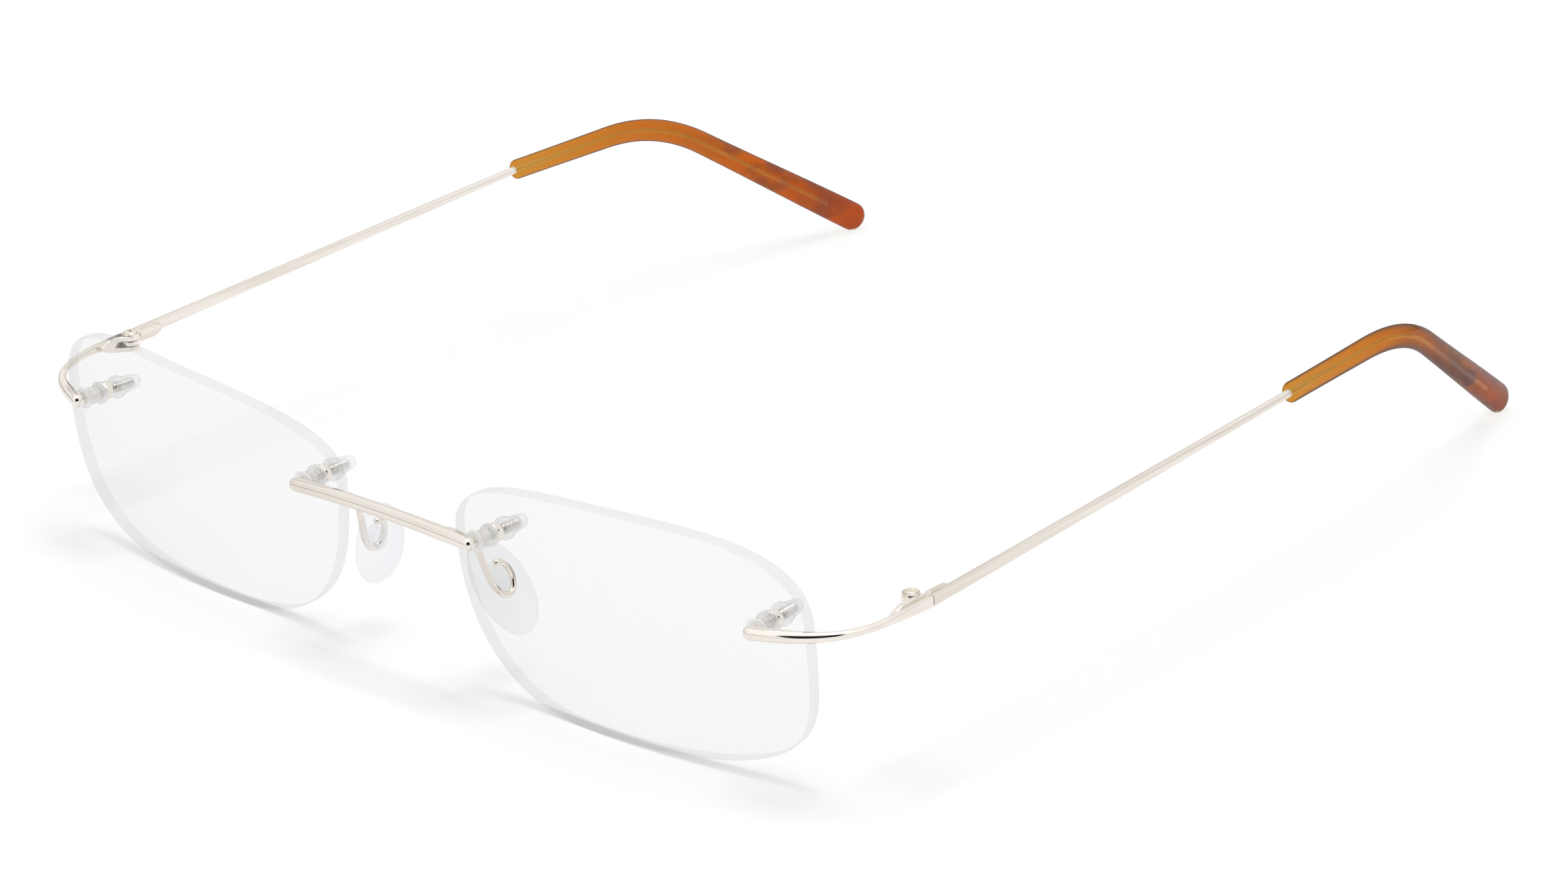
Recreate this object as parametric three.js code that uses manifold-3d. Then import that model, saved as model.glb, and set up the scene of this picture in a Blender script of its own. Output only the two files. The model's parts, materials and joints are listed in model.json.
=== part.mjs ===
// Rimless eyeglasses: two drilled lenses bolted to a metal bridge and to two metal end pieces,
// adjustable nose pads, and two hinged temples with plastic tips.
// Millimetres. +X is the wearer's left, +Y runs back along the temples, +Z is up.
// Everything is drawn once for the wearer's left side and mirrored for the right.

import * as THREE from 'three';
import { mergeVertices } from 'three/addons/utils/BufferGeometryUtils.js';
import Module from 'manifold-3d';

const wasm = await Module();
wasm.setup();

// ---------------------------------------------------------------- driving dimensions

const FIT = 0.05; // running clearance between touching pieces

// Lenses
const LENS_CENTRE = new THREE.Vector3( 36.5, 0.3, 15.05 ); // centre of the front surface
const LENS_THICKNESS = 1.75;
const LENS_RADIUS = 86; // front surface curvature
const LENS_WRAP = THREE.MathUtils.degToRad( 3.8 ); // outer edge turned back
const LENS_TILT = THREE.MathUtils.degToRad( 5.3 ); // top edge leant forward
const LENS_BEVEL = 0.2;
const LENS_HOLE_RADIUS = 1.1;
const OUTLINE_STEPS = 12; // points on each of the outline's four curves

// Lens mounts: place on the lens (across, up) and how far each bolt turns inward
const NASAL_HOLE = { across: - 21.8, up: 5.4, turn: 0 };
const TEMPORAL_HOLE = { across: 20.5, up: 4.8, turn: THREE.MathUtils.degToRad( 8 ) };
const BAR_STANDOFF = 1.35; // bar centre line to the lens front
const STUD_RADIUS = 0.62;
const STUD_END = 7.1; // behind the lens front
const WASHER_RADIUS = 1.4;
const FLANGE_RADIUS = 1.45;
const NUT_RADIUS = 1.35;
const NUT_HEIGHT = 0.85;
const CAP_START = 4.3;
const CAP_LENGTH = 3.9;
const CAP_BASE_RADIUS = 1.45;
const CAP_TIP_RADIUS = 0.85;

// Bridge and end pieces
const BAR_RADIUS = 0.88;
const BAR_OVERHANG = 0.88; // bar end beyond the stud's axis
const BRIDGE_BOW = 0.1; // forward bow at the middle
const BRIDGE_RISE = 0.5; // upward arch at the middle
const BRIDGE_WAIST_RADIUS = 0.86;
const TEMPLE_X = 67.6; // centre line of the end piece and temple at the hinge
const TEMPLE_Z = 20.5;
const JOINT_Y = 21.0; // where the end piece ends and the temple begins
const JOINT_GAP = 0.1;
const BLADE_HALF_THICKNESS = 0.42; // flattened bar at the hinge
const BLADE_HALF_HEIGHT = 0.68;
const WAIST_HALF_HEIGHT = 0.5; // thinnest part of the end piece

// Hinge
const HINGE_X = 65.95;
const HINGE_Y = 19.5;
const KNUCKLE_RADIUS = 1.1;
const KNUCKLE_HEIGHT = 0.6;
const KNUCKLE_GAP = 0.08;
const LEAF_HALF_HEIGHT = 0.88;
const LEAF_THICKNESS = 0.65;
const LEAF_LENGTH = 4.4;
const SCREW_RADIUS = 0.42;
const SCREW_HEAD_RADIUS = 1.0;
const SCREW_HEAD_HEIGHT = 0.5;
const SLOT_WIDTH = 0.3;
const SLOT_DEPTH = 0.25;

// Temples and tips
const TIP_START = new THREE.Vector3( 65.9, 89.0, 23.4 );
const TIP_CORNER = new THREE.Vector3( 64.0, 114.8, 23.6 );
const TIP_END = new THREE.Vector3( 56.1, 145.6, 2.1 );
const BEND_LENGTH = 9; // straight length replaced by the bend on each side of the corner
const CORE_SETBACK = 5; // wire stops short of the end of the tip
const CORE_RADIUS = 0.5;
const CORE_FIT = 0.08; // gap between the wire and the bore of the tip
const CORE_STEPS = 18;
const TIP_HALF_HEIGHT = [ 1.35, 1.55, 2.0 ]; // at the mouth, at the bend, at the end
const TIP_HALF_THICKNESS = [ 1.15, 1.25, 1.35 ];

// Nose pads, and the wire arms that hold them
const PAD_CENTRE = new THREE.Vector3( 10.5, 9.0, 11.0 );
const PAD_DOWN = new THREE.Vector3( 0.29, 0.38, - 0.88 ).normalize();
const PAD_BACK_HINT = new THREE.Vector3( - 0.09, 0.92, 0.37 );
const PAD_HALF_LENGTH = 6.9;
const PAD_HALF_WIDTH = 3.9;
const PAD_THICKNESS = 1.1;
const PAD_DISH = 0.9; // how far the middle bulges towards the nose
const BOSS_HALF_WIDTH = 0.72;
const BOSS_HALF_LENGTH = 1.5;
const BOSS_TOP = 1.2;
const ARM_RADIUS = 0.45;
const ARM_SOLDER_X = 8.9;

// ---------------------------------------------------------------- materials

const metal = () => new THREE.MeshStandardMaterial( { color: 0xe6dccb, roughness: 0.12, metalness: 1 } );
const steel = () => new THREE.MeshStandardMaterial( { color: 0xcfcdc8, roughness: 0.2, metalness: 1 } );
const lensPlastic = () => new THREE.MeshStandardMaterial( {
	color: 0xf4f6f5, roughness: 0.03, metalness: 0, transparent: true, opacity: 0.3,
} );
const clearPlastic = () => new THREE.MeshStandardMaterial( {
	color: 0xeef1f2, roughness: 0.15, metalness: 0, transparent: true, opacity: 0.5,
} );
const silicone = () => new THREE.MeshStandardMaterial( {
	color: 0xe9edf4, roughness: 0.25, metalness: 0, transparent: true, opacity: 0.5,
} );
const amber = () => new THREE.MeshStandardMaterial( { color: 0xb5651d, roughness: 0.15, metalness: 0 } );

// ---------------------------------------------------------------- geometry helpers

function toSolid( geometry ) {

	const bare = geometry.clone();
	bare.deleteAttribute( 'normal' );
	bare.deleteAttribute( 'uv' );
	const merged = mergeVertices( bare, 1e-5 );
	return new wasm.Manifold( new wasm.Mesh( {
		numProp: 3,
		vertProperties: new Float32Array( merged.attributes.position.array ),
		triVerts: new Uint32Array( merged.index.array ),
	} ) );

}

function fromSolid( solid ) {

	const cut = solid.getMesh();
	const geometry = new THREE.BufferGeometry();
	const positions = new Float32Array( cut.vertProperties );
	geometry.setAttribute( 'position', new THREE.BufferAttribute( positions, 3 ) );
	geometry.setIndex( new THREE.BufferAttribute( new Uint32Array( cut.triVerts ), 1 ) );
	geometry.computeVertexNormals();
	return geometry;

}

function cutAway( geometry, ...cutters ) {

	const subtract = ( whole, cutter ) => whole.subtract( toSolid( cutter ) );
	return fromSolid( cutters.reduce( subtract, toSolid( geometry ) ) );

}

function join( ...geometries ) {

	return fromSolid( geometries.map( toSolid ).reduce( ( whole, piece ) => whole.add( piece ) ) );

}

function mirrored( geometry ) {

	const copy = geometry.clone();
	copy.applyMatrix4( new THREE.Matrix4().makeScale( - 1, 1, 1 ) );
	const index = copy.index.array;
	for ( let i = 0; i < index.length; i += 3 ) {

		const first = index[ i ];
		index[ i ] = index[ i + 1 ];
		index[ i + 1 ] = first;

	}

	copy.computeVertexNormals();
	return copy;

}

// Points evenly spaced round a closed ring.
function around( sides, pointAt ) {

	return Array.from( { length: sides }, ( _, side ) => pointAt( ( side / sides ) * 2 * Math.PI ) );

}

// A closed skin over rings of points, with a point at each end. Each ring runs anticlockwise
// round the direction from the first ring to the last.
function skin( startPoint, rings, endPoint ) {

	const sides = rings[ 0 ].length;
	const points = [ startPoint, ...rings.flat(), endPoint ];
	const last = points.length - 1;
	const corner = ( ring, side ) => 1 + ring * sides + side % sides;
	const faces = [];
	for ( let side = 0; side < sides; side ++ ) {

		faces.push( 0, corner( 0, side + 1 ), corner( 0, side ) );
		for ( let ring = 0; ring + 1 < rings.length; ring ++ ) {

			faces.push( corner( ring, side ), corner( ring, side + 1 ), corner( ring + 1, side + 1 ) );
			faces.push( corner( ring, side ), corner( ring + 1, side + 1 ), corner( ring + 1, side ) );

		}

		faces.push( last, corner( rings.length - 1, side ), corner( rings.length - 1, side + 1 ) );

	}

	const geometry = new THREE.BufferGeometry().setFromPoints( points );
	geometry.setIndex( faces );
	geometry.computeVertexNormals();
	return geometry;

}

const UP = new THREE.Vector3( 0, 0, 1 );
const ellipse = () => 2;

// Sweeps a rounded section along a curve. size( distance, length ) gives the section's half
// width (level) and half height; squareness 2 is an ellipse and larger is boxier. start is where
// the first end is closed.
function sweep( { curve, stations, size, squareness = ellipse, sides = 12, level = UP, start = 0 } ) {

	const length = curve.getLength();
	const shareAt = ( distance ) => Math.min( Math.max( distance / length, 0 ), 1 );
	const ringAt = ( distance ) => {

		const share = shareAt( distance );
		const centre = curve.getPointAt( share );
		const along = curve.getTangentAt( share );
		const across = new THREE.Vector3().crossVectors( along, level ).normalize();
		const upright = new THREE.Vector3().crossVectors( along, across );
		const [ halfWidth, halfHeight ] = size( distance, length );
		const power = 2 / squareness( distance, length );
		const stretch = ( value ) => Math.sign( value ) * Math.abs( value ) ** power;
		return around( sides, ( angle ) => centre.clone()
			.addScaledVector( across, stretch( Math.cos( angle ) ) * halfWidth )
			.addScaledVector( upright, stretch( Math.sin( angle ) ) * halfHeight ) );

	};

	return skin( curve.getPointAt( shareAt( start ) ), stations.map( ringAt ), curve.getPointAt( 1 ) );

}

// Distances along a sweep: close together inside each rounded end, even between them.
function roundEndStations( length, startRound, endRound, middleSteps, capSteps = 4 ) {

	const ease = ( step ) => 1 - Math.cos( ( step / capSteps ) * Math.PI / 2 );
	const stations = [];
	if ( startRound === 0 ) stations.push( 0 );
	else for ( let step = 1; step <= capSteps; step ++ ) stations.push( startRound * ease( step ) );
	const start = stations[ stations.length - 1 ];
	for ( let step = 1; step < middleSteps; step ++ ) {

		stations.push( start + ( length - endRound - start ) * step / middleSteps );

	}

	if ( endRound === 0 ) stations.push( length );
	else for ( let step = capSteps; step > 0; step -- ) stations.push( length - endRound * ease( step ) );
	return stations;

}

// Share of the full section left at a distance inside a round end.
function roundShare( distance, round ) {

	if ( round <= 0 || distance >= round ) return 1;
	const inside = 1 - Math.max( distance, 0 ) / round;
	return Math.sqrt( Math.max( 1 - inside * inside, 0 ) );

}

// Eases from one value to the other as share goes from 0 to 1.
function blendBetween( from, to, share ) {

	return from + ( to - from ) * THREE.MathUtils.smoothstep( share, 0, 1 );

}

// A washer-like ring about the Y axis.
function ring( innerRadius, outerRadius, startY, endY, sides = 12 ) {

	return new THREE.LatheGeometry( [
		new THREE.Vector2( innerRadius, startY ),
		new THREE.Vector2( outerRadius, startY ),
		new THREE.Vector2( outerRadius, endY ),
		new THREE.Vector2( innerRadius, endY ),
		new THREE.Vector2( innerRadius, startY ),
	], sides );

}

function rod( radius, startY, endY, sides = 12 ) {

	return new THREE.CylinderGeometry( radius, radius, endY - startY, sides )
		.translate( 0, ( startY + endY ) / 2, 0 );

}

function upright( geometry, x, y ) {

	return geometry.rotateX( Math.PI / 2 ).translate( x, y, 0 );

}

// ---------------------------------------------------------------- lens

const lensPlace = new THREE.Matrix4()
	.makeRotationFromEuler( new THREE.Euler( LENS_TILT, 0, LENS_WRAP ) )
	.setPosition( LENS_CENTRE );

function lensPoint( across, up, depth ) {

	const sag = LENS_RADIUS - Math.sqrt( LENS_RADIUS ** 2 - across ** 2 - up ** 2 );
	return new THREE.Vector3( across, sag + depth, up ).applyMatrix4( lensPlace );

}

// The outline: four curves through the top, outer, bottom and nasal extremes.
function lensOutline() {

	const shape = new THREE.Shape();
	shape.moveTo( 5.1, 15.0 );
	shape.bezierCurveTo( 21.2, 15.0, 26.2, 10.8, 26.2, 4.1 );
	shape.bezierCurveTo( 26.2, - 11.8, 25.4, - 15.05, - 7.2, - 15.05 );
	shape.bezierCurveTo( - 13.8, - 15.05, - 26.3, - 13.6, - 26.3, 5.4 );
	shape.bezierCurveTo( - 26.3, 11.2, - 17.0, 15.0, 5.1, 15.0 );
	const points = shape.getPoints( OUTLINE_STEPS );
	points.pop();
	return points.reverse(); // anticlockwise seen from the front

}

function lensBlank( frontDepth, backDepth, bevel ) {

	const outline = lensOutline();
	const largest = 27;
	const inset = 1 - bevel / largest;
	const levels = [
		[ 0.5, backDepth ], [ inset, backDepth ], [ 1, backDepth - bevel ],
		[ 1, frontDepth + bevel ], [ inset, frontDepth ], [ 0.5, frontDepth ],
	];
	const rings = levels.map( ( [ scale, depth ] ) => outline.map(
		( point ) => lensPoint( point.x * scale, point.y * scale, depth ),
	) );
	return skin( lensPoint( 0, 0, backDepth ), rings, lensPoint( 0, 0, frontDepth ) );

}

// ---------------------------------------------------------------- lens mounts

// Turns geometry built round the Y axis, with Y zero at the lens front, into place at a hole.
function atHole( geometry, hole ) {

	const origin = lensPoint( hole.across, hole.up, 0 );
	return geometry.rotateZ( hole.turn ).translate( origin.x, origin.y, origin.z );

}

function barPoint( hole ) {

	const origin = lensPoint( hole.across, hole.up, 0 );
	const back = new THREE.Vector3( - Math.sin( hole.turn ), Math.cos( hole.turn ), 0 );
	return origin.addScaledVector( back, - BAR_STANDOFF );

}

const SEAT_Y = - BAR_STANDOFF + 0.55; // floor of the socket in the bar
const COLLAR_END = - BAR_STANDOFF + BAR_RADIUS; // stud collar stands level with the bar

// What a stud and its front washer need cut from the bar.
function studSocket( hole ) {

	const socket = atHole( rod( 0.85, SEAT_Y, 3 ), hole );
	const washerSeat = atHole( rod( WASHER_RADIUS + 2 * FIT, COLLAR_END, 3 ), hole );
	return join( socket, washerSeat );

}

function stud( hole ) {

	return atHole( new THREE.LatheGeometry( [
		new THREE.Vector2( 0, SEAT_Y + FIT ),
		new THREE.Vector2( 0.78, SEAT_Y + FIT ),
		new THREE.Vector2( 0.78, COLLAR_END ),
		new THREE.Vector2( STUD_RADIUS, COLLAR_END ),
		new THREE.Vector2( STUD_RADIUS, STUD_END - 0.25 ),
		new THREE.Vector2( STUD_RADIUS - 0.2, STUD_END ),
		new THREE.Vector2( 0, STUD_END ),
	], 12 ), hole );

}

const BORE = STUD_RADIUS + 0.08;

function frontWasher( hole ) {

	const washer = atHole( ring( BORE, WASHER_RADIUS, COLLAR_END + FIT, 1 ), hole );
	return cutAway( washer, lensBlank( - FIT, LENS_THICKNESS, 0 ) );

}

const REAR_FLANGE_END = LENS_THICKNESS + 0.5;

// The clear sleeve that lines the hole, with the flange that lies on the back of the lens.
function sleeve( hole ) {

	const flange = cutAway(
		atHole( ring( BORE, FLANGE_RADIUS, LENS_THICKNESS - 1, REAR_FLANGE_END ), hole ),
		lensBlank( 0, LENS_THICKNESS + FIT, 0 ),
	);
	const liner = atHole( ring( BORE, LENS_HOLE_RADIUS - FIT - 0.03, 0.5, REAR_FLANGE_END ), hole );
	return join( flange, liner );

}

const METAL_WASHER_END = REAR_FLANGE_END + FIT + 0.2;

function metalWasher( hole ) {

	return atHole( ring( BORE, FLANGE_RADIUS - 0.15, REAR_FLANGE_END + FIT, METAL_WASHER_END ), hole );

}

const NUT_START = METAL_WASHER_END + FIT;

function nut( hole ) {

	return atHole( ring( BORE + 0.1, NUT_RADIUS, NUT_START, NUT_START + NUT_HEIGHT, 6 ), hole );

}

// Clear cap pushed over the end of the stud: a flanged base, a cone and a domed end.
function cap( hole ) {

	const end = CAP_START + CAP_LENGTH;
	const domeStart = end - CAP_TIP_RADIUS;
	const dome = [ 0.35, 0.7 ].map( ( share ) => new THREE.Vector2(
		CAP_TIP_RADIUS * Math.cos( share * Math.PI / 2 ),
		domeStart + CAP_TIP_RADIUS * Math.sin( share * Math.PI / 2 ),
	) );
	return atHole( new THREE.LatheGeometry( [
		new THREE.Vector2( 0, STUD_END + FIT ),
		new THREE.Vector2( BORE, STUD_END + FIT ),
		new THREE.Vector2( BORE, CAP_START ),
		new THREE.Vector2( CAP_BASE_RADIUS, CAP_START ),
		new THREE.Vector2( CAP_BASE_RADIUS, CAP_START + 0.7 ),
		new THREE.Vector2( CAP_BASE_RADIUS - 0.3, CAP_START + 0.95 ),
		new THREE.Vector2( CAP_TIP_RADIUS, domeStart ),
		...dome,
		new THREE.Vector2( 0, end ),
	], 12 ), hole );

}

// ---------------------------------------------------------------- bridge

const bridgeEnd = barPoint( NASAL_HOLE );

function bridgeCurve() {

	const middle = new THREE.Vector3( 0, bridgeEnd.y - 2 * BRIDGE_BOW, bridgeEnd.z + 2 * BRIDGE_RISE );
	const overhang = new THREE.Vector3( BAR_OVERHANG, 0, 0 );
	return new THREE.QuadraticBezierCurve3(
		bridgeEnd.clone().add( overhang ),
		middle,
		bridgeEnd.clone().add( overhang ).multiply( new THREE.Vector3( - 1, 1, 1 ) ),
	);

}

function bridge() {

	const curve = bridgeCurve();
	const bar = sweep( {
		curve,
		stations: roundEndStations( curve.getLength(), BAR_RADIUS, BAR_RADIUS, 8 ),
		size: ( distance, length ) => {

			const toEnd = Math.min( distance, length - distance );
			const full = blendBetween( BAR_RADIUS, BRIDGE_WAIST_RADIUS, 2 * toEnd / length );
			const radius = full * roundShare( toEnd, BAR_RADIUS );
			return [ radius, radius ];

		},
		sides: 16,
	} );
	const socket = studSocket( NASAL_HOLE );
	return cutAway( bar, socket, mirrored( socket ) );

}

// ---------------------------------------------------------------- end piece and hinge

function knuckle( level, extra = 0 ) {

	const half = KNUCKLE_HEIGHT / 2 + extra;
	return upright( rod( KNUCKLE_RADIUS + extra, level - half, level + half, 18 ), HINGE_X, HINGE_Y );

}

function hingeBore( extra ) {

	return upright( rod( SCREW_RADIUS + extra, TEMPLE_Z - 4, TEMPLE_Z + 4, 14 ), HINGE_X, HINGE_Y );

}

function block( lowX, highX, lowY, highY, lowZ, highZ ) {

	return new THREE.BoxGeometry( highX - lowX, highY - lowY, highZ - lowZ )
		.translate( ( lowX + highX ) / 2, ( lowY + highY ) / 2, ( lowZ + highZ ) / 2 );

}

const KNUCKLE_STEP = KNUCKLE_HEIGHT + KNUCKLE_GAP;
const INNER_FACE_X = TEMPLE_X - BLADE_HALF_THICKNESS;
const LEAF_X = INNER_FACE_X - LEAF_THICKNESS;

// Solid web that carries a knuckle from a leaf. reach is the leaf end of the web.
function knuckleWeb( level, reach ) {

	const half = KNUCKLE_HEIGHT / 2;
	return block(
		HINGE_X, INNER_FACE_X,
		Math.min( HINGE_Y, reach ), Math.max( HINGE_Y, reach ),
		level - half, level + half,
	);

}

function endPiece() {

	const start = barPoint( TEMPORAL_HOLE );
	const curve = new THREE.CurvePath();
	const bendEnd = new THREE.Vector3( TEMPLE_X, 14.2, TEMPLE_Z );
	const front = new THREE.Vector3( start.x - BAR_OVERHANG * 0.94, start.y - BAR_OVERHANG * 0.34, start.z );
	curve.add( new THREE.CubicBezierCurve3(
		front,
		new THREE.Vector3( start.x + 5.6, start.y + 2.0, start.z ),
		new THREE.Vector3( TEMPLE_X - 0.8, 6.6, start.z ),
		bendEnd,
	) );
	curve.add( new THREE.LineCurve3( bendEnd, new THREE.Vector3( TEMPLE_X, JOINT_Y, TEMPLE_Z ) ) );
	const waist = 0.6; // share of the length where the tapering bar is thinnest
	const bar = sweep( {
		curve,
		stations: roundEndStations( curve.getLength(), BAR_RADIUS, 0, 16 ),
		size: ( distance, length ) => {

			const taper = distance / length / waist;
			const rise = ( distance / length - waist ) / ( 1 - waist );
			const round = roundShare( distance, BAR_RADIUS );
			const halfHeight = taper < 1
				? blendBetween( BAR_RADIUS, WAIST_HALF_HEIGHT, taper )
				: blendBetween( WAIST_HALF_HEIGHT, BLADE_HALF_HEIGHT, rise );
			return [ blendBetween( BAR_RADIUS, BLADE_HALF_THICKNESS, taper ) * round, halfHeight * round ];

		},
		squareness: ( distance, length ) => blendBetween( 2, 8, distance / length * 1.4 - 0.4 ),
		sides: 16,
	} );
	const leaf = block(
		LEAF_X, INNER_FACE_X + 0.1,
		HINGE_Y - LEAF_LENGTH, JOINT_Y - 0.15,
		TEMPLE_Z - LEAF_HALF_HEIGHT, TEMPLE_Z + LEAF_HALF_HEIGHT,
	);
	const ears = [ - KNUCKLE_STEP, KNUCKLE_STEP ].flatMap( ( offset ) => [
		knuckle( TEMPLE_Z + offset ),
		knuckleWeb( TEMPLE_Z + offset, HINGE_Y - 2.4 ),
	] );
	const templeKnuckleRoom = [
		knuckle( TEMPLE_Z, KNUCKLE_GAP ),
		block(
			HINGE_X - 2, INNER_FACE_X + 0.02, HINGE_Y, JOINT_Y + 1,
			TEMPLE_Z - KNUCKLE_HEIGHT / 2 - KNUCKLE_GAP, TEMPLE_Z + KNUCKLE_HEIGHT / 2 + KNUCKLE_GAP,
		),
	];
	const whole = join( bar, leaf, ...ears );
	return cutAway( whole, ...templeKnuckleRoom, hingeBore( FIT ), studSocket( TEMPORAL_HOLE ) );

}

function hingeScrew() {

	const top = TEMPLE_Z + KNUCKLE_STEP + KNUCKLE_HEIGHT / 2 + FIT;
	const bottom = TEMPLE_Z - KNUCKLE_STEP - KNUCKLE_HEIGHT / 2 - 0.25;
	const screw = new THREE.LatheGeometry( [
		new THREE.Vector2( 0, bottom ),
		new THREE.Vector2( SCREW_RADIUS - 0.1, bottom ),
		new THREE.Vector2( SCREW_RADIUS, bottom + 0.1 ),
		new THREE.Vector2( SCREW_RADIUS, top ),
		new THREE.Vector2( SCREW_HEAD_RADIUS, top ),
		new THREE.Vector2( SCREW_HEAD_RADIUS, top + SCREW_HEAD_HEIGHT * 0.5 ),
		new THREE.Vector2( SCREW_HEAD_RADIUS * 0.75, top + SCREW_HEAD_HEIGHT * 0.85 ),
		new THREE.Vector2( SCREW_HEAD_RADIUS * 0.4, top + SCREW_HEAD_HEIGHT ),
		new THREE.Vector2( 0, top + SCREW_HEAD_HEIGHT ),
	], 18 );
	const slot = new THREE.BoxGeometry( 3 * SCREW_HEAD_RADIUS, SLOT_WIDTH, 2 * SLOT_DEPTH )
		.rotateZ( Math.PI / 5 )
		.translate( HINGE_X, HINGE_Y, top + SCREW_HEAD_HEIGHT );
	return cutAway( upright( screw, HINGE_X, HINGE_Y ), slot );

}

// ---------------------------------------------------------------- temple and tip

function templeCurve( endSetback ) {

	const start = new THREE.Vector3( TEMPLE_X, JOINT_Y + JOINT_GAP, TEMPLE_Z );
	const descent = TIP_END.clone().sub( TIP_CORNER ).normalize();
	const approach = TIP_START.clone().sub( TIP_CORNER ).normalize();
	const bendStart = TIP_CORNER.clone().addScaledVector( approach, BEND_LENGTH );
	const bendEnd = TIP_CORNER.clone().addScaledVector( descent, BEND_LENGTH );
	const end = TIP_END.clone().addScaledVector( descent, TIP_HALF_HEIGHT[ 2 ] - endSetback );
	const curve = new THREE.CurvePath();
	curve.add( new THREE.LineCurve3( start, TIP_START ) );
	curve.add( new THREE.LineCurve3( TIP_START, bendStart ) );
	curve.add( new THREE.QuadraticBezierCurve3( bendStart, TIP_CORNER, bendEnd ) );
	curve.add( new THREE.LineCurve3( bendEnd, end ) );
	return curve;

}

const coreCurve = templeCurve( CORE_SETBACK + TIP_HALF_HEIGHT[ 2 ] );
const bladeLength = TIP_START.distanceTo( coreCurve.getPointAt( 0 ) );

// Distances along the temple where the sections of the core wire, and of its bore, are drawn.
const coreStations = Array.from( { length: CORE_STEPS + 1 }, ( _, step ) =>
	bladeLength + ( coreCurve.getLength() - bladeLength ) * step / CORE_STEPS );

function temple() {

	const bladeShares = [ 0, 0.1, 0.3, 0.5, 0.7, 0.85, 0.95, 0.99 ];
	const blade = sweep( {
		curve: coreCurve,
		stations: [ ...bladeShares.map( ( share ) => share * bladeLength ), ...coreStations ],
		size: ( distance ) => {

			const share = Math.min( distance / bladeLength, 1 );
			return [
				BLADE_HALF_THICKNESS + ( CORE_RADIUS - BLADE_HALF_THICKNESS ) * share,
				BLADE_HALF_HEIGHT + ( CORE_RADIUS - BLADE_HALF_HEIGHT ) * share,
			];

		},
		squareness: ( distance ) => 8 - 6 * Math.min( distance / bladeLength, 1 ),
		sides: 12,
	} );
	const leafStart = HINGE_Y + KNUCKLE_RADIUS + 0.35;
	const leaf = block(
		LEAF_X, INNER_FACE_X + 0.1,
		Math.max( leafStart, JOINT_Y + JOINT_GAP ), leafStart + LEAF_LENGTH,
		TEMPLE_Z - LEAF_HALF_HEIGHT, TEMPLE_Z + LEAF_HALF_HEIGHT,
	);
	const web = block(
		HINGE_X - 0.1, LEAF_X + 0.3,
		HINGE_Y, leafStart + 1.2,
		TEMPLE_Z - KNUCKLE_HEIGHT / 2, TEMPLE_Z + KNUCKLE_HEIGHT / 2,
	);
	return cutAway( join( blade, leaf, web, knuckle( TEMPLE_Z ) ), hingeBore( FIT ) );

}

function tip() {

	const curve = new THREE.CurvePath();
	curve.curves = templeCurve( 0 ).curves.slice( 1 );
	const middle = 0.45; // share of the tip's length where the bend is
	const stage = ( values, share ) => share < middle
		? blendBetween( values[ 0 ], values[ 1 ], share / middle )
		: blendBetween( values[ 1 ], values[ 2 ], ( share - middle ) / ( 1 - middle ) );
	const endRound = TIP_HALF_HEIGHT[ 2 ];
	const mouthRound = 0.5;
	const body = sweep( {
		curve,
		stations: [ 0, ...roundEndStations( curve.getLength(), mouthRound, endRound, 18, 4 ) ],
		size: ( distance, length ) => {

			const mouth = 0.75 + 0.25 * roundShare( distance, mouthRound );
			const round = roundShare( length - distance, endRound ) * mouth;
			const share = distance / length;
			return [ stage( TIP_HALF_THICKNESS, share ) * round, stage( TIP_HALF_HEIGHT, share ) * round ];

		},
		sides: 16,
	} );
	const boreCurve = templeCurve( CORE_SETBACK + TIP_HALF_HEIGHT[ 2 ] - 0.2 );
	const boreStart = bladeLength - 1;
	const boreRadius = CORE_RADIUS + CORE_FIT;
	const bore = sweep( {
		curve: boreCurve,
		stations: [ boreStart, ...coreStations, boreCurve.getLength() ],
		size: () => [ boreRadius, boreRadius ],
		start: boreStart,
	} );
	return cutAway( body, bore );

}

// ---------------------------------------------------------------- nose pad and arm

const padBack = PAD_BACK_HINT.clone()
	.addScaledVector( PAD_DOWN, - PAD_BACK_HINT.dot( PAD_DOWN ) )
	.normalize();
const padOut = new THREE.Vector3().crossVectors( PAD_DOWN, padBack );

// A point in the pad's own directions: down its length, towards the back, and away from the nose.
function padPoint( down, back, out ) {

	return PAD_CENTRE.clone()
		.addScaledVector( PAD_DOWN, down )
		.addScaledVector( padBack, back )
		.addScaledVector( padOut, out );

}

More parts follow.
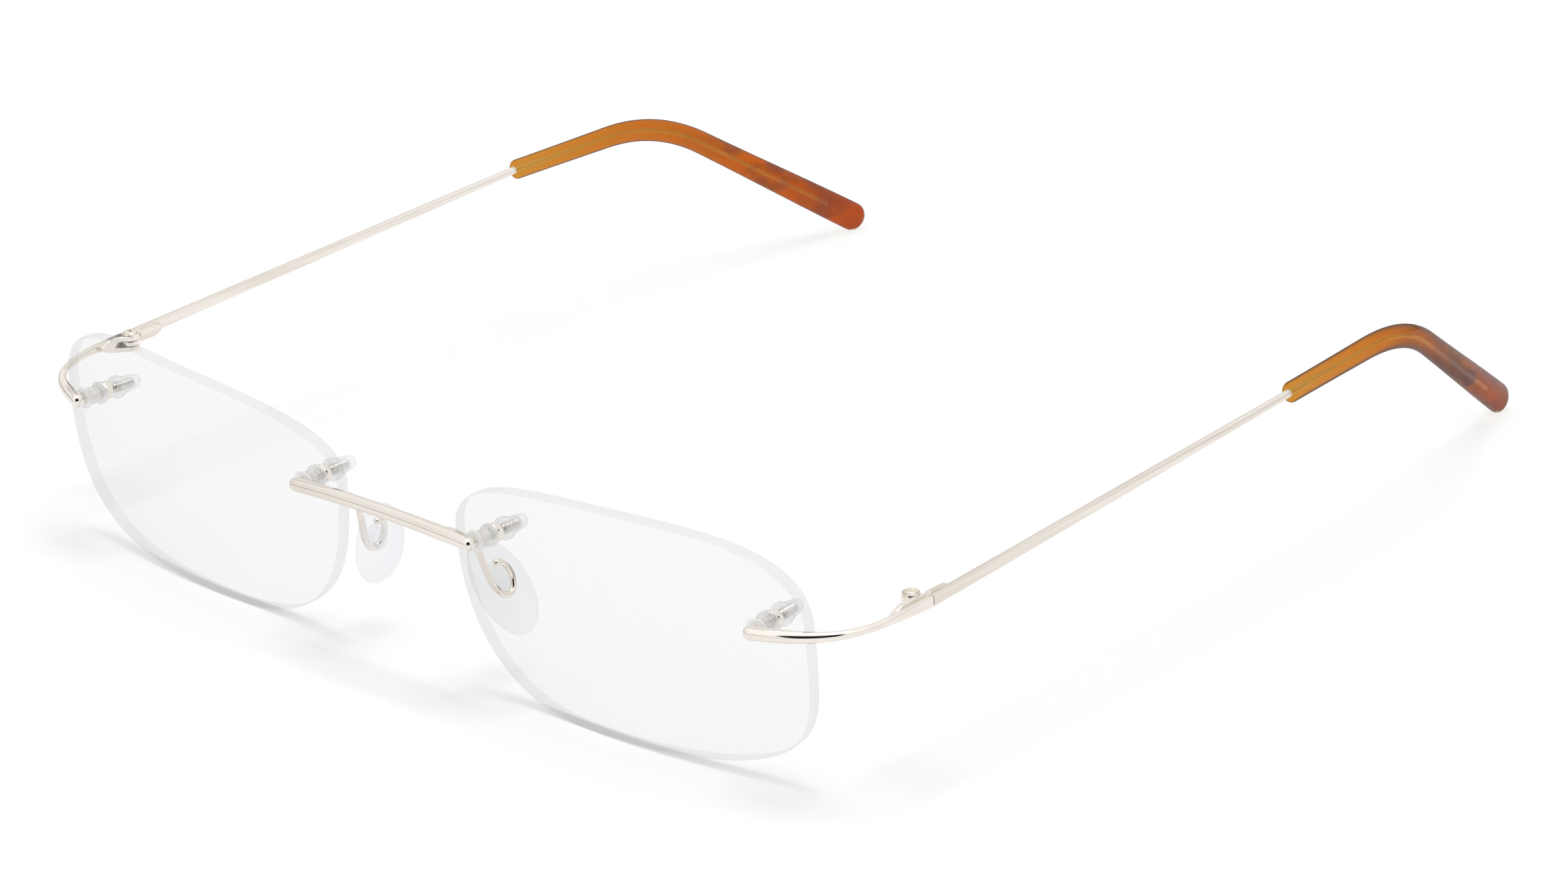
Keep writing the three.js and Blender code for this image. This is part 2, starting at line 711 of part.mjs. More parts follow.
function pad() {

	const ringAt = ( share, face ) => {

		const bulge = - PAD_DISH * ( 1 - share * share );
		const half = PAD_THICKNESS / 2 * ( 1 - 0.55 * share * share );
		return around( 20, ( angle ) => padPoint(
			PAD_HALF_LENGTH * share * Math.cos( angle ),
			PAD_HALF_WIDTH * share * Math.sin( angle ),
			bulge + face * half,
		) );

	};

	const shares = [ 0.35, 0.65, 0.88, 1 ];
	const noseFace = shares.map( ( share ) => ringAt( share, - 1 ) );
	const lensFace = shares.map( ( share ) => ringAt( share, 1 ) ).reverse();
	const body = skin(
		padPoint( 0, 0, - PAD_DISH - PAD_THICKNESS / 2 ),
		[ ...noseFace, ...lensFace ],
		padPoint( 0, 0, - PAD_DISH + PAD_THICKNESS / 2 ),
	);
	const bossCentre = - 1.1;
	const bossStart = - PAD_DISH;
	const bossLevels = [ [ 1.15, bossStart ], [ 1, bossStart + 0.5 ], [ 1, BOSS_TOP - 0.2 ], [ 0.8, BOSS_TOP ] ];
	const bossRings = bossLevels.map( ( [ scale, out ] ) => around( 14, ( angle ) => padPoint(
		bossCentre + BOSS_HALF_LENGTH * scale * Math.cos( angle ),
		BOSS_HALF_WIDTH * scale * Math.sin( angle ),
		out,
	) ) );
	const boss = skin( padPoint( bossCentre, 0, bossStart ), bossRings, padPoint( bossCentre, 0, BOSS_TOP ) );
	return join( body, boss );

}

// Wire from the back of the bridge, round the nasal edge of the lens, down behind it and
// round the pad's boss in a hook.
function padArm() {

	const bar = bridgeCurve().getPoint( 0.5 - ARM_SOLDER_X / ( 2 * bridgeEnd.x ) );
	const curve = new THREE.CatmullRomCurve3( [
		new THREE.Vector3( ARM_SOLDER_X, bar.y + BAR_RADIUS + 0.1, bar.z - 0.3 ),
		new THREE.Vector3( ARM_SOLDER_X - 0.2, 3.2, 19.2 ),
		padPoint( - 7.2, - 0.9, 1.45 ),
		padPoint( - 4.2, - 1.2, 1.05 ),
		padPoint( - 1.2, - 1.45, 0.65 ),
		padPoint( 0.6, - 0.9, 0.6 ),
		padPoint( 1.1, 0.3, 0.6 ),
		padPoint( 0.1, 1.4, 0.6 ),
		padPoint( - 2.2, 1.5, 0.6 ),
		padPoint( - 3.3, 0.4, 0.6 ),
	], false, 'centripetal' );
	return sweep( {
		curve,
		stations: roundEndStations( curve.getLength(), 0, ARM_RADIUS, 28, 3 ),
		size: ( distance, length ) => {

			const radius = ARM_RADIUS * roundShare( length - distance, ARM_RADIUS );
			return [ radius, radius ];

		},
		level: padOut,
		sides: 8,
	} );

}

// ---------------------------------------------------------------- assembly

const group = new THREE.Group();

function place( name, geometry, material ) {

	const mesh = new THREE.Mesh( geometry, material );
	mesh.name = name;
	group.add( mesh );

}

function placePair( name, geometry, makeMaterial ) {

	place( `${ name }_left`, geometry, makeMaterial() );
	place( `${ name }_right`, mirrored( geometry ), makeMaterial() );

}

place( 'bridge_bar', bridge(), metal() );
const drills = [ NASAL_HOLE, TEMPORAL_HOLE ]
	.map( ( hole ) => atHole( rod( LENS_HOLE_RADIUS, - 4, 8, 20 ), hole ) );
placePair( 'lens', cutAway( lensBlank( 0, LENS_THICKNESS, LENS_BEVEL ), ...drills ), lensPlastic );

for ( const [ side, hole ] of [ [ 'nasal', NASAL_HOLE ], [ 'temporal', TEMPORAL_HOLE ] ] ) {

	placePair( `stud_${ side }`, stud( hole ), steel );
	placePair( `front_washer_${ side }`, frontWasher( hole ), clearPlastic );
	placePair( `sleeve_${ side }`, sleeve( hole ), clearPlastic );
	placePair( `metal_washer_${ side }`, metalWasher( hole ), steel );
	placePair( `hex_nut_${ side }`, nut( hole ), steel );
	placePair( `end_cap_${ side }`, cap( hole ), clearPlastic );

}

placePair( 'pad_arm', padArm(), metal );
placePair( 'nose_pad', pad(), silicone );
placePair( 'end_piece', endPiece(), metal );
placePair( 'hinge_screw', hingeScrew(), metal );
placePair( 'temple', temple(), metal );
placePair( 'temple_tip', tip(), amber );

// The origin is on the table, at the middle of the footprint.
const box = new THREE.Box3().setFromObject( group );
const middle = box.getCenter( new THREE.Vector3() );
group.position.set( - middle.x, - middle.y, - box.min.z );

export default group;
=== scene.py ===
import json
import math

import bmesh
import bpy
from mathutils import Matrix, Vector


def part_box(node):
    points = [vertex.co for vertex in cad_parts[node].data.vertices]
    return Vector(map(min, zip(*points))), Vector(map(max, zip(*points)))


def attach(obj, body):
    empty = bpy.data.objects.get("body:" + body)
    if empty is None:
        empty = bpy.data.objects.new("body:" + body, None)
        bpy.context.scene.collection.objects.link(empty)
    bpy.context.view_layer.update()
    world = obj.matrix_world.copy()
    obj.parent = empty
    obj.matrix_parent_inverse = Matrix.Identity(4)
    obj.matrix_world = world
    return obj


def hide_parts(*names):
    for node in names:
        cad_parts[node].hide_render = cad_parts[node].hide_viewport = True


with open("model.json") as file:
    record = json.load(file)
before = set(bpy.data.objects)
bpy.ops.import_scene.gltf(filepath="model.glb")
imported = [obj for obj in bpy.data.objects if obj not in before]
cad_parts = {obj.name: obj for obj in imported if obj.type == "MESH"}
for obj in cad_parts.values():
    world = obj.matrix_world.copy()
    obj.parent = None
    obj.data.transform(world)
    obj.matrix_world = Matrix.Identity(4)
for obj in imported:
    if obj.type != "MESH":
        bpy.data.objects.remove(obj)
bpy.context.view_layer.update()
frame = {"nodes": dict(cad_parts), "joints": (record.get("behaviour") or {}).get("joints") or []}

# Rimless eyeglasses. +X is the wearer's left, +Y runs back along the temples, +Z is up.
# Every piece is drawn for the wearer's left side and mirrored for the right.
# Lengths named below are millimetres; MM turns them into Blender's metres.

MM = 0.001

# ---------------------------------------------------------------- driving dimensions (mm)

# Lens
LENS_RADIUS = 86.0
LENS_THICKNESS = 1.75
LENS_WRAP = math.radians(3.8)
LENS_TILT = math.radians(5.3)
LENS_BEVEL = 0.22
LENS_HOLE_RADIUS = 1.1
LENS_CORNERS = ((5.1, 15.0), (26.2, 4.1), (-7.2, -15.05), (-26.3, 5.4))  # top, outer, bottom, nasal
LENS_REACH = ((16.1, 6.7), (15.9, 32.6), (6.6, 19.0), (5.8, 22.1))  # straight pull at a quarter's ends
LENS_HALF_WIDTH = -LENS_CORNERS[3][0]
LENS_FACE_LEAN = 0.75   # a surface turned at least this much to the front or back is a lens face

# Mounts, measured along each bolt from the front of the lens
FIT_GAP = 0.05          # left between neighbours on a bolt
STUD_LEAD = 0.75        # the stud starts this far ahead of the lens front
STUD_RADIUS = 0.62
STUD_LENGTH = 7.85
THREAD_START = 1.9
THREAD_PITCH = 0.34
THREAD_DEPTH = 0.1
THREAD_RUN_IN = 0.2
STUD_CHAMFER = (0.2, 0.3)  # depth and length
BAR_STANDOFF = 1.35
WASHER_RADIUS = 1.4
FLANGE_RADIUS = 1.45
FLANGE_THICKNESS = 0.5
BORE_RADIUS = 0.7
NUT_RADIUS = 1.35
NUT_FACE_RADIUS = 1.15
NUT_CHAMFER = 0.16
NUT_START = 2.55
NUT_END = 3.4
CAP_START = 4.3
CAP_END = 8.2
CAP_BASE_RADIUS = 1.45
CAP_TIP_RADIUS = 0.85

# Bars
BAR_RADIUS = 0.88
BAR_OVERHANG = 0.88
BAR_END_HEADING = Vector((-0.94, -0.34, 0))
BRIDGE_BOW = 0.1
BRIDGE_RISE = 0.5
BRIDGE_WAIST_RADIUS = 0.86
WAIST_HALF_HEIGHT = 0.5
WAIST_SHARE = 0.6       # share of the end piece's length at which it is slimmest
BLADE_HALF_THICKNESS = 0.42
BLADE_HALF_HEIGHT = 0.68
BLADE_CORNER = 0.14

# Hinge, from the hinge pin's middle
TEMPLE_OFFSET_X = 1.65
JOINT_OFFSET_Y = 1.5
JOINT_GAP = 0.1
KNUCKLE_RADIUS = 1.1
KNUCKLE_HEIGHT = 0.6
KNUCKLE_STEP = 0.68
KNUCKLE_TOP = KNUCKLE_STEP + KNUCKLE_HEIGHT / 2
LEAF_HALF_HEIGHT = 0.88
LEAF_THICKNESS = 0.65
LEAF_LENGTH = 4.4
LEAF_LAP = 0.1          # a leaf sinks this far into the blade it is soldered to
LEAF_ROUND = 0.15
COLLAR_HEIGHT = 0.25
SCREW_RADIUS = 0.42
SCREW_HEAD_RADIUS = 0.86
SCREW_HEAD_HEIGHT = 0.5
SLOT_WIDTH = 0.3
SLOT_DEPTH = 0.26

# Temple and tip, from the hinge pin's middle
TIP_MOUTH = Vector((-0.05, 69.5, 2.9))
TIP_CORNER = Vector((-1.95, 95.3, 3.1))
TIP_END = Vector((-9.85, 126.1, -18.4))
BEND_LENGTH = 9.0
CORE_RADIUS = 0.5
CORE_SETBACK = 5.0
CORE_TAPER = 0.45       # share of the wire's thickness lost inside the tip
CORE_TAPER_LENGTH = 12.0
TIP_HALF_HEIGHT = (1.35, 1.55, 2.0)
TIP_HALF_THICKNESS = (1.15, 1.25, 1.35)
TIP_BEND_SHARE = 0.45
TIP_MOUTH_ROUND = 0.6

# Nose pad
PAD_DOWN = Vector((0.29, 0.38, -0.88)).normalized()
PAD_HALF_LENGTH = 6.9
PAD_HALF_WIDTH = 3.9
PAD_THICKNESS = 1.1
PAD_DISH = 0.9
PAD_RIM_SHARE = 0.85    # the pad's rim starts to round off at this share of its half width
PAD_THINNING = 0.35
PAD_EGG = 0.07
BOSS_DOWN = -1.1
BOSS_OUT = 0.6
BOSS_HALF_WIDTH = 0.72
BOSS_HALF_LENGTH = 1.5
BOSS_TOP = 1.2
ARM_RADIUS = 0.45
ARM_SOLDER_X = 8.9

# Floor and camera
FLOOR_REACH = 6000
CAMERA_AZIMUTH = math.radians(43.32)
CAMERA_ELEVATION = math.radians(22.6)
CAMERA_ROLL = math.radians(-2.26)
CAMERA_DISTANCE = 739.5
CAMERA_AIM = Vector((3.84, -10.77, 8.72))  # beside the middle of the footprint
CAMERA_LENS = 135.35
CAMERA_SENSOR = 36
CAMERA_SHIFT = (0.0112, 0.0076)

# ---------------------------------------------------------------- studio light (metres and watts)

SOFTBOX_PLACE = Vector((0, 0.06, 1.0))
SOFTBOX_AIM = Vector((0, -0.03, 0))
SOFTBOX_SIZE = (0.5, 0.3)
SOFTBOX_POWER = 3.1
EVEN_LIGHT = 0.8
STUDIO_GLOW = (1.02, 1.25)  # brightness of the mirrored studio, away from the camera and towards it
DARK_PATCH = (math.radians(31), math.radians(28))  # from outside its soft edge to inside it
STUDIO_TONES = (        # by height, from the horizon up
    (0.0, (0.3, 0.28, 0.26)),
    (0.08, (0.55, 0.53, 0.5)),
    (0.13, (0.95, 0.94, 0.93)),
    (0.36, (1.0, 1.0, 1.0)),
    (0.4, (0.7, 0.68, 0.66)),
    (0.45, (0.9, 0.89, 0.88)),
    (0.7, (1.0, 1.0, 1.0)),
)

# ---------------------------------------------------------------- places read from the frame

joints = {joint["name"]: joint for joint in frame["joints"]}


def middle(node):
    """Middle of a CAD node's box, in millimetres."""
    low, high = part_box(node)
    return (low + high) / (2 * MM)


hinge = Vector(joints["temple_left_fold"]["pos_m"]) / MM
pad_pivot = Vector(joints["pad_left_rock"]["pos_m"]) / MM
pad_back = Vector(joints["pad_left_rock"]["axis"]).normalized()
pad_out = PAD_DOWN.cross(pad_back)


class Bolt:
    """The axis of one lens mount on the wearer's left."""

    def __init__(self, side):
        stud_middle = middle(f"stud_{side}_left")
        self.back = (middle(f"end_cap_{side}_left") - stud_middle).normalized()
        self.origin = stud_middle - self.back * (STUD_LENGTH / 2 - STUD_LEAD)
        self.across = self.back.cross(Vector((0, 0, 1))).normalized()
        self.up = self.across.cross(self.back)

    def point(self, radius, angle, along):
        """A point round the axis; along is measured back from the front of the lens."""
        offset = self.across * math.cos(angle) + self.up * math.sin(angle)
        return self.origin + self.back * along + offset * radius

    def distance_from_axis(self, point):
        return (point - self.origin).cross(self.back).length


bolts = {side: Bolt(side) for side in ("nasal", "temporal")}

# ---------------------------------------------------------------- mesh helpers


def make_object(name, points, faces, material, sharp=35):
    """A mesh object from millimetre points, smooth except across edges of over sharp degrees."""
    mesh = bpy.data.meshes.new(name)
    mesh.from_pydata([point * MM for point in points], [], faces)
    edit = bmesh.new()
    edit.from_mesh(mesh)
    bmesh.ops.remove_doubles(edit, verts=edit.verts, dist=1e-7)
    bmesh.ops.recalc_face_normals(edit, faces=edit.faces)
    limit = math.radians(sharp)
    for face in edit.faces:
        face.smooth = True
    for edge in edit.edges:
        edge.smooth = len(edge.link_faces) == 2 and edge.calc_face_angle(0) < limit
    edit.to_mesh(mesh)
    edit.free()
    piece = bpy.data.objects.new(name, mesh)
    bpy.context.scene.collection.objects.link(piece)
    mesh.materials.append(material)
    return piece


def mirror_point(point):
    return Vector((-point.x, point.y, point.z))


def add_pair(name, geometry, material, bodies, node=None, sharp=35):
    """The left piece and its mirror image. bodies names the CAD body of each side."""
    points, faces = geometry
    pieces = []
    for side, body in zip(("left", "right"), bodies):
        placed = points if side == "left" else [mirror_point(point) for point in points]
        piece = make_object(f"{name}_{side}", placed, faces, material, sharp)
        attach(piece, body)
        if node:
            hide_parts(f"{node}_{side}")
        pieces.append(piece)
    return pieces


def loft(rings, closed=False):
    """Points and faces of a skin over rings of equal length.
    closed joins the last ring to the first; otherwise a point closes each end."""
    sides = len(rings[0])
    points = [point for ring in rings for point in ring]
    faces = []
    ring_pairs = len(rings) if closed else len(rings) - 1
    for ring in range(ring_pairs):
        following = (ring + 1) % len(rings)
        for side in range(sides):
            after = (side + 1) % sides
            faces.append((
                ring * sides + side,
                ring * sides + after,
                following * sides + after,
                following * sides + side,
            ))
    if not closed:
        for ring in (0, len(rings) - 1):
            centre = sum(rings[ring], Vector()) / sides
            points.append(centre)
            for side in range(sides):
                after = (side + 1) % sides
                faces.append((ring * sides + side, ring * sides + after, len(points) - 1))
    return points, faces


def ease(share):
    share = min(max(share, 0.0), 1.0)
    return share * share * (3 - 2 * share)


def blend(start, end, share):
    return start + (end - start) * ease(share)


def bezier(controls, steps):
    """Points along a Bezier curve of any degree."""
    curve = []
    for step in range(steps + 1):
        level = [point.copy() for point in controls]
        share = step / steps
        while len(level) > 1:
            level = [a.lerp(b, share) for a, b in zip(level, level[1:])]
        curve.append(level[0])
    return curve


def spline(knots, steps):
    """A smooth path through knots (centripetal Catmull-Rom)."""
    padded = [2 * knots[0] - knots[1], *knots, 2 * knots[-1] - knots[-2]]
    path = [knots[0].copy()]
    for before, start, end, after in zip(padded, padded[1:], padded[2:], padded[3:]):
        gaps = [start - before, end - start, after - end]
        spans = [math.sqrt(gap.length) for gap in gaps]
        speeds = [gap / span for gap, span in zip(gaps, spans)]
        leave = speeds[0] - (end - before) / (spans[0] + spans[1]) + speeds[1]
        arrive = speeds[1] - (after - start) / (spans[1] + spans[2]) + speeds[2]
        leave *= spans[1]
        arrive *= spans[1]
        for step in range(1, steps + 1):
            t = step / steps
            path.append(
                start * (2 * t ** 3 - 3 * t ** 2 + 1) + leave * (t ** 3 - 2 * t ** 2 + t)
                + end * (3 * t ** 2 - 2 * t ** 3) + arrive * (t ** 3 - t ** 2)
            )
    return path


def path_length(path):
    return sum((b - a).length for a, b in zip(path, path[1:]))


def point_at(path, distance):
    """The place at a distance along a path."""
    walked = 0.0
    for a, b in zip(path, path[1:]):
        step = (b - a).length
        if step > 0 and walked + step >= distance - 1e-9:
            return a.lerp(b, (distance - walked) / step)
        walked += step
    return path[-1].copy()


def stations(length, start_round, end_round, spacing, cap_steps=7):
    """Distances along a sweep: even in the middle, closer together inside rounded ends."""
    closer = [1 - math.cos(step / cap_steps * math.pi / 2) for step in range(1, cap_steps)]
    first = [start_round * share for share in closer] if start_round else []
    last = [length - end_round * share for share in reversed(closer)] if end_round else []
    span = length - start_round - end_round
    count = max(int(span / spacing), 2)
    even = [start_round + span * step / count for step in range(count + 1)]
    return [*first, *even, *last]


def round_share(distance, length_of_round):
    """Share of the full section left at a distance inside a round end."""
    if length_of_round <= 0 or distance >= length_of_round:
        return 1.0
    inside = 1 - max(distance, 0) / length_of_round
    return math.sqrt(max(1 - inside * inside, 0))


def rounded_section(half_width, half_height, radius, corner_steps=6):
    """A rectangle with round corners; it is a circle when all three sizes are equal."""
    radius = min(radius, half_width, half_height)
    outline = []
    for corner in range(4):
        corner_across = (half_width - radius) * (1 if corner in (0, 3) else -1)
        corner_up = (half_height - radius) * (1 if corner in (0, 1) else -1)
        for step in range(corner_steps + 1):
            angle = (corner + step / corner_steps) * math.pi / 2
            outline.append((
                corner_across + radius * math.cos(angle),
                corner_up + radius * math.sin(angle),
            ))
    return outline


def sweep(path, distances, section, level=Vector((0, 0, 1)), reach=0.02):
    """Rings of section(distance, length) along a path, kept upright against level.
    The path's direction at a ring is taken over reach on either side of it."""
    length = path_length(path)
    rings = []
    for distance in distances:
        near = min(max(distance, reach), length - reach)
        centre = point_at(path, distance)
        along = (point_at(path, near + reach) - point_at(path, near - reach)).normalized()
        across = along.cross(level).normalized()
        upright = across.cross(along)
        rings.append([centre + across * a + upright * b for a, b in section(distance, length)])
    return rings


def full_turn(sides):
    """Angles evenly spaced round a circle."""
    return [side / sides * 2 * math.pi for side in range(sides)]


def lathe(bolt, profile, sides=48):
    """Turns (radius, along) pairs round a bolt's axis."""
    angles = full_turn(sides)
    return loft([[bolt.point(radius, angle, along) for angle in angles] for radius, along in profile])


def rounded_profile(corners, radius, steps=4):
    """Rounds every corner of a closed (radius, along) profile, by a little under half a side at most."""
    longest_share = 1 / 2.2
    result = []
    count = len(corners)
    for index in range(count):
        before = Vector(corners[index - 1])
        corner = Vector(corners[index])
        after = Vector(corners[(index + 1) % count])
        shorter_side = min((before - corner).length, (after - corner).length)
        reach = min(radius, shorter_side * longest_share)
        start = corner + (before - corner).normalized() * reach
        end = corner + (after - corner).normalized() * reach
        for step in range(steps + 1):
            share = step / steps
            point = start.lerp(corner, share).lerp(corner.lerp(end, share), share)
            result.append((point.x, point.y))
    return result


def block(low, high, radius, steps=3):
    """A box with rounded edges, as rings stacked in z."""
    centre = (low + high) / 2
    half = (high - low) / 2
    rings = []
    for end in (-1, 1):
        turns = range(steps + 1) if end < 0 else range(steps, -1, -1)
        for turn in turns:
            angle = turn / steps * math.pi / 2
            inset = radius * (1 - math.sin(angle))
            height = end * (half.z - radius * (1 - math.cos(angle)))
            outline = rounded_section(half.x - inset, half.y - inset, radius)
            rings.append([centre + Vector((a, b, height)) for a, b in outline])
    return loft(rings)


def turn_on_hinge(profile, sides=48, closed=False):
    """Turns (radius, height) pairs round the hinge pin's axis."""
    rings = []
    for radius, height in profile:
        rings.append([
            hinge + Vector((radius * math.cos(angle), radius * math.sin(angle), height))
            for angle in full_turn(sides)
        ])
    return loft(rings, closed)


def cut(piece, cutter_geometry):
    """Takes a cutter's shape out of a piece."""
    cutter = make_object("cutter", *cutter_geometry, None)
    modifier = piece.modifiers.new("cut", "BOOLEAN")
    modifier.operation = "DIFFERENCE"
    modifier.solver = "EXACT"
    modifier.object = cutter
    graph = bpy.context.evaluated_depsgraph_get()
    result = bpy.data.meshes.new_from_object(piece.evaluated_get(graph))
    piece.modifiers.clear()
    piece.data = result
    bpy.data.objects.remove(cutter)


# ---------------------------------------------------------------- tones (linear red, green, blue)

GOLD = ((0.76, 0.70, 0.63), (0.86, 0.81, 0.75))
SMALL_GOLD = ((0.82, 0.765, 0.70), (0.86, 0.81, 0.75))
SCREW_GOLD = ((0.76, 0.68, 0.56), (0.87, 0.81, 0.72))
STUD = ((0.55, 0.51, 0.47), (0.74, 0.71, 0.67))
STEEL = ((0.86, 0.84, 0.81), (0.95, 0.94, 0.92))
MILK = (0.98, 0.98, 0.98)
FITTING_TINT = (0.99, 0.991, 0.993)
FITTING_RIM = (0.7, 0.71, 0.72)
AMBER_MOUTH = (0.64, 0.28, 0.03)
AMBER_BEND = (0.58, 0.19, 0.013)
AMBER_SHAFT = (0.54, 0.125, 0.007)
AMBER_END = (0.46, 0.085, 0.013)
AMBER_CLOUD = (0.13, 0.055, 0.045)
AMBER_SHADE = (0.92, 0.9, 0.88)
AMBER_DARK_RIM = (0.06, 0.03, 0.03)
# pale grey painted sheen on the tip's rim towards its end, a painted reflection of the white studio
AMBER_PAINTED_SHEEN = (0.38, 0.31, 0.31)
BLACK = (0, 0, 0)
WHITE = (1, 1, 1)

PLASTIC_IOR = 1.5

# ---------------------------------------------------------------- material helpers


def new_material(name):
    material = bpy.data.materials.new(name)
    material.use_nodes = True
    tree = material.node_tree
    tree.nodes.clear()
    output = tree.nodes.new("ShaderNodeOutputMaterial")
    return material, tree, output


def add_node(tree, kind, inputs=None, **settings):
    node = tree.nodes.new(kind)
    for key, value in settings.items():
        setattr(node, key, value)
    for key, value in (inputs or {}).items():
        if isinstance(value, bpy.types.NodeSocket):
            tree.links.new(value, node.inputs[key])
        else:
            node.inputs[key].default_value = value
    return node


def colour_input(value):
    """A colour for a node: an output of another node as it is, or a tone made opaque."""
    return value if isinstance(value, bpy.types.NodeSocket) else (*value, 1)


def position(tree, scale=(1, 1, 1)):
    """The point being shaded, on the piece itself, with each axis scaled."""
    coordinates = add_node(tree, "ShaderNodeTexCoord")
    return add_node(
        tree, "ShaderNodeMapping", {"Vector": coordinates.outputs["Object"], "Scale": scale}
    ).outputs["Vector"]


def noise(tree, vector, scale, detail=3.0, roughness=0.55):
    return add_node(tree, "ShaderNodeTexNoise", {
        "Vector": vector, "Scale": scale, "Detail": detail, "Roughness": roughness,
    }).outputs["Fac"]


def ramp(tree, factor, stops):
    node = add_node(tree, "ShaderNodeValToRGB", {"Fac": factor})
    elements = node.color_ramp.elements
    while len(elements) < len(stops):
        elements.new(0.5)
    for element, (place, colour) in zip(elements, stops):
        element.position = place
        element.color = (*colour, 1)
    return node.outputs["Color"]


def remap(tree, value, source, target, kind="LINEAR"):
    """Rescales a value from the source range to the target range."""
    return add_node(tree, "ShaderNodeMapRange", {
        "Value": value,
        "From Min": source[0],
        "From Max": source[1],
        "To Min": target[0],
        "To Max": target[1],
    }, interpolation_type=kind).outputs["Result"]


def spread(tree, share, low, high):
    """Rescales a 0..1 value to low..high."""
    return remap(tree, share, (0, 1), (low, high))


def calculate(tree, operation, first, second, clamp=False):
    return add_node(
        tree, "ShaderNodeMath", {0: first, 1: second}, operation=operation, use_clamp=clamp
    ).outputs[0]


def mix_colours(tree, share, first, second):
    return add_node(tree, "ShaderNodeMix", {
        0: share, 6: colour_input(first), 7: colour_input(second),
    }, data_type="RGBA").outputs[2]


def mix_shaders(tree, share, first, second):
    return add_node(tree, "ShaderNodeMixShader", {
        "Fac": share, 1: first.outputs[0], 2: second.outputs[0],
    })


def bump(tree, height, strength, distance):
    return add_node(tree, "ShaderNodeBump", {
        "Height": height, "Strength": strength, "Distance": distance,
    }).outputs["Normal"]


def polished_metal(name, tones, grain, roughness):
    """Plated, polished metal with faint streaks. grain sets how quickly they change along each axis."""
    material, tree, output = new_material(name)
    streaks = noise(tree, position(tree, grain), scale=900, detail=2)
    cloud = noise(tree, position(tree), scale=260, detail=2)
    shader = add_node(tree, "ShaderNodeBsdfPrincipled", {
        "Base Color": ramp(tree, streaks, [(0.36, tones[0]), (0.64, tones[1])]),
        "Metallic": 1.0,
        "Roughness": spread(tree, cloud, *roughness),
        "Normal": bump(tree, streaks, strength=0.1, distance=0.004 * MM),
    })
    tree.links.new(shader.outputs["BSDF"], output.inputs["Surface"])
    return material


def see_through(tree, output, tone, shade, milk, haze, roughness, gloss):
    """Ends a clear plastic, which lets light straight through.
    tone is what the camera sees through one face and shade what other light keeps of its
    colour. haze is the share of scatter in the milk colour that the camera sees. gloss
    scales the reflections, which only the outer faces give."""
    seen = add_node(tree, "ShaderNodeLightPath").outputs["Is Camera Ray"]
    through = add_node(tree, "ShaderNodeBsdfTransparent", {
        "Color": mix_colours(tree, seen, shade, tone),
    })
    scatter = add_node(tree, "ShaderNodeBsdfDiffuse", {"Color": colour_input(milk)})
    veil = mix_shaders(tree, calculate(tree, "MULTIPLY", haze, seen), through, scatter)
    shine = add_node(tree, "ShaderNodeBsdfGlossy", {"Roughness": roughness})
    fresnel = add_node(tree, "ShaderNodeFresnel", {"IOR": PLASTIC_IOR}).outputs[0]
    inside = add_node(tree, "ShaderNodeNewGeometry").outputs["Backfacing"]
    outside = calculate(tree, "SUBTRACT", gloss, inside, clamp=True)
    mixed = mix_shaders(tree, calculate(tree, "MULTIPLY", fresnel, outside), veil, shine)
    tree.links.new(mixed.outputs[0], output.inputs["Surface"])


def clear_plastic(name, tint, rim_tint, gloss, milk, shade=0.99):
    """Clear plastic, a little darker at glancing angles.
    tint and rim_tint are what the camera sees through one face and through its rim, milk
    is the share of milky scatter and shade the share of other light that a face lets past."""
    material, tree, output = new_material(name)
    cloud = noise(tree, position(tree), scale=300, detail=2)
    facing = add_node(tree, "ShaderNodeLayerWeight", {"Blend": 0.5}).outputs["Facing"]
    rim = calculate(tree, "POWER", facing, 3.0)
    see_through(
        tree, output,
        tone=mix_colours(tree, rim, tint, rim_tint),
        shade=(shade, shade, shade),
        milk=MILK,
        haze=spread(tree, cloud, milk * 0.8, milk * 1.2),
        roughness=spread(tree, cloud, 0.02, 0.05),
        gloss=gloss,
    )
    return material


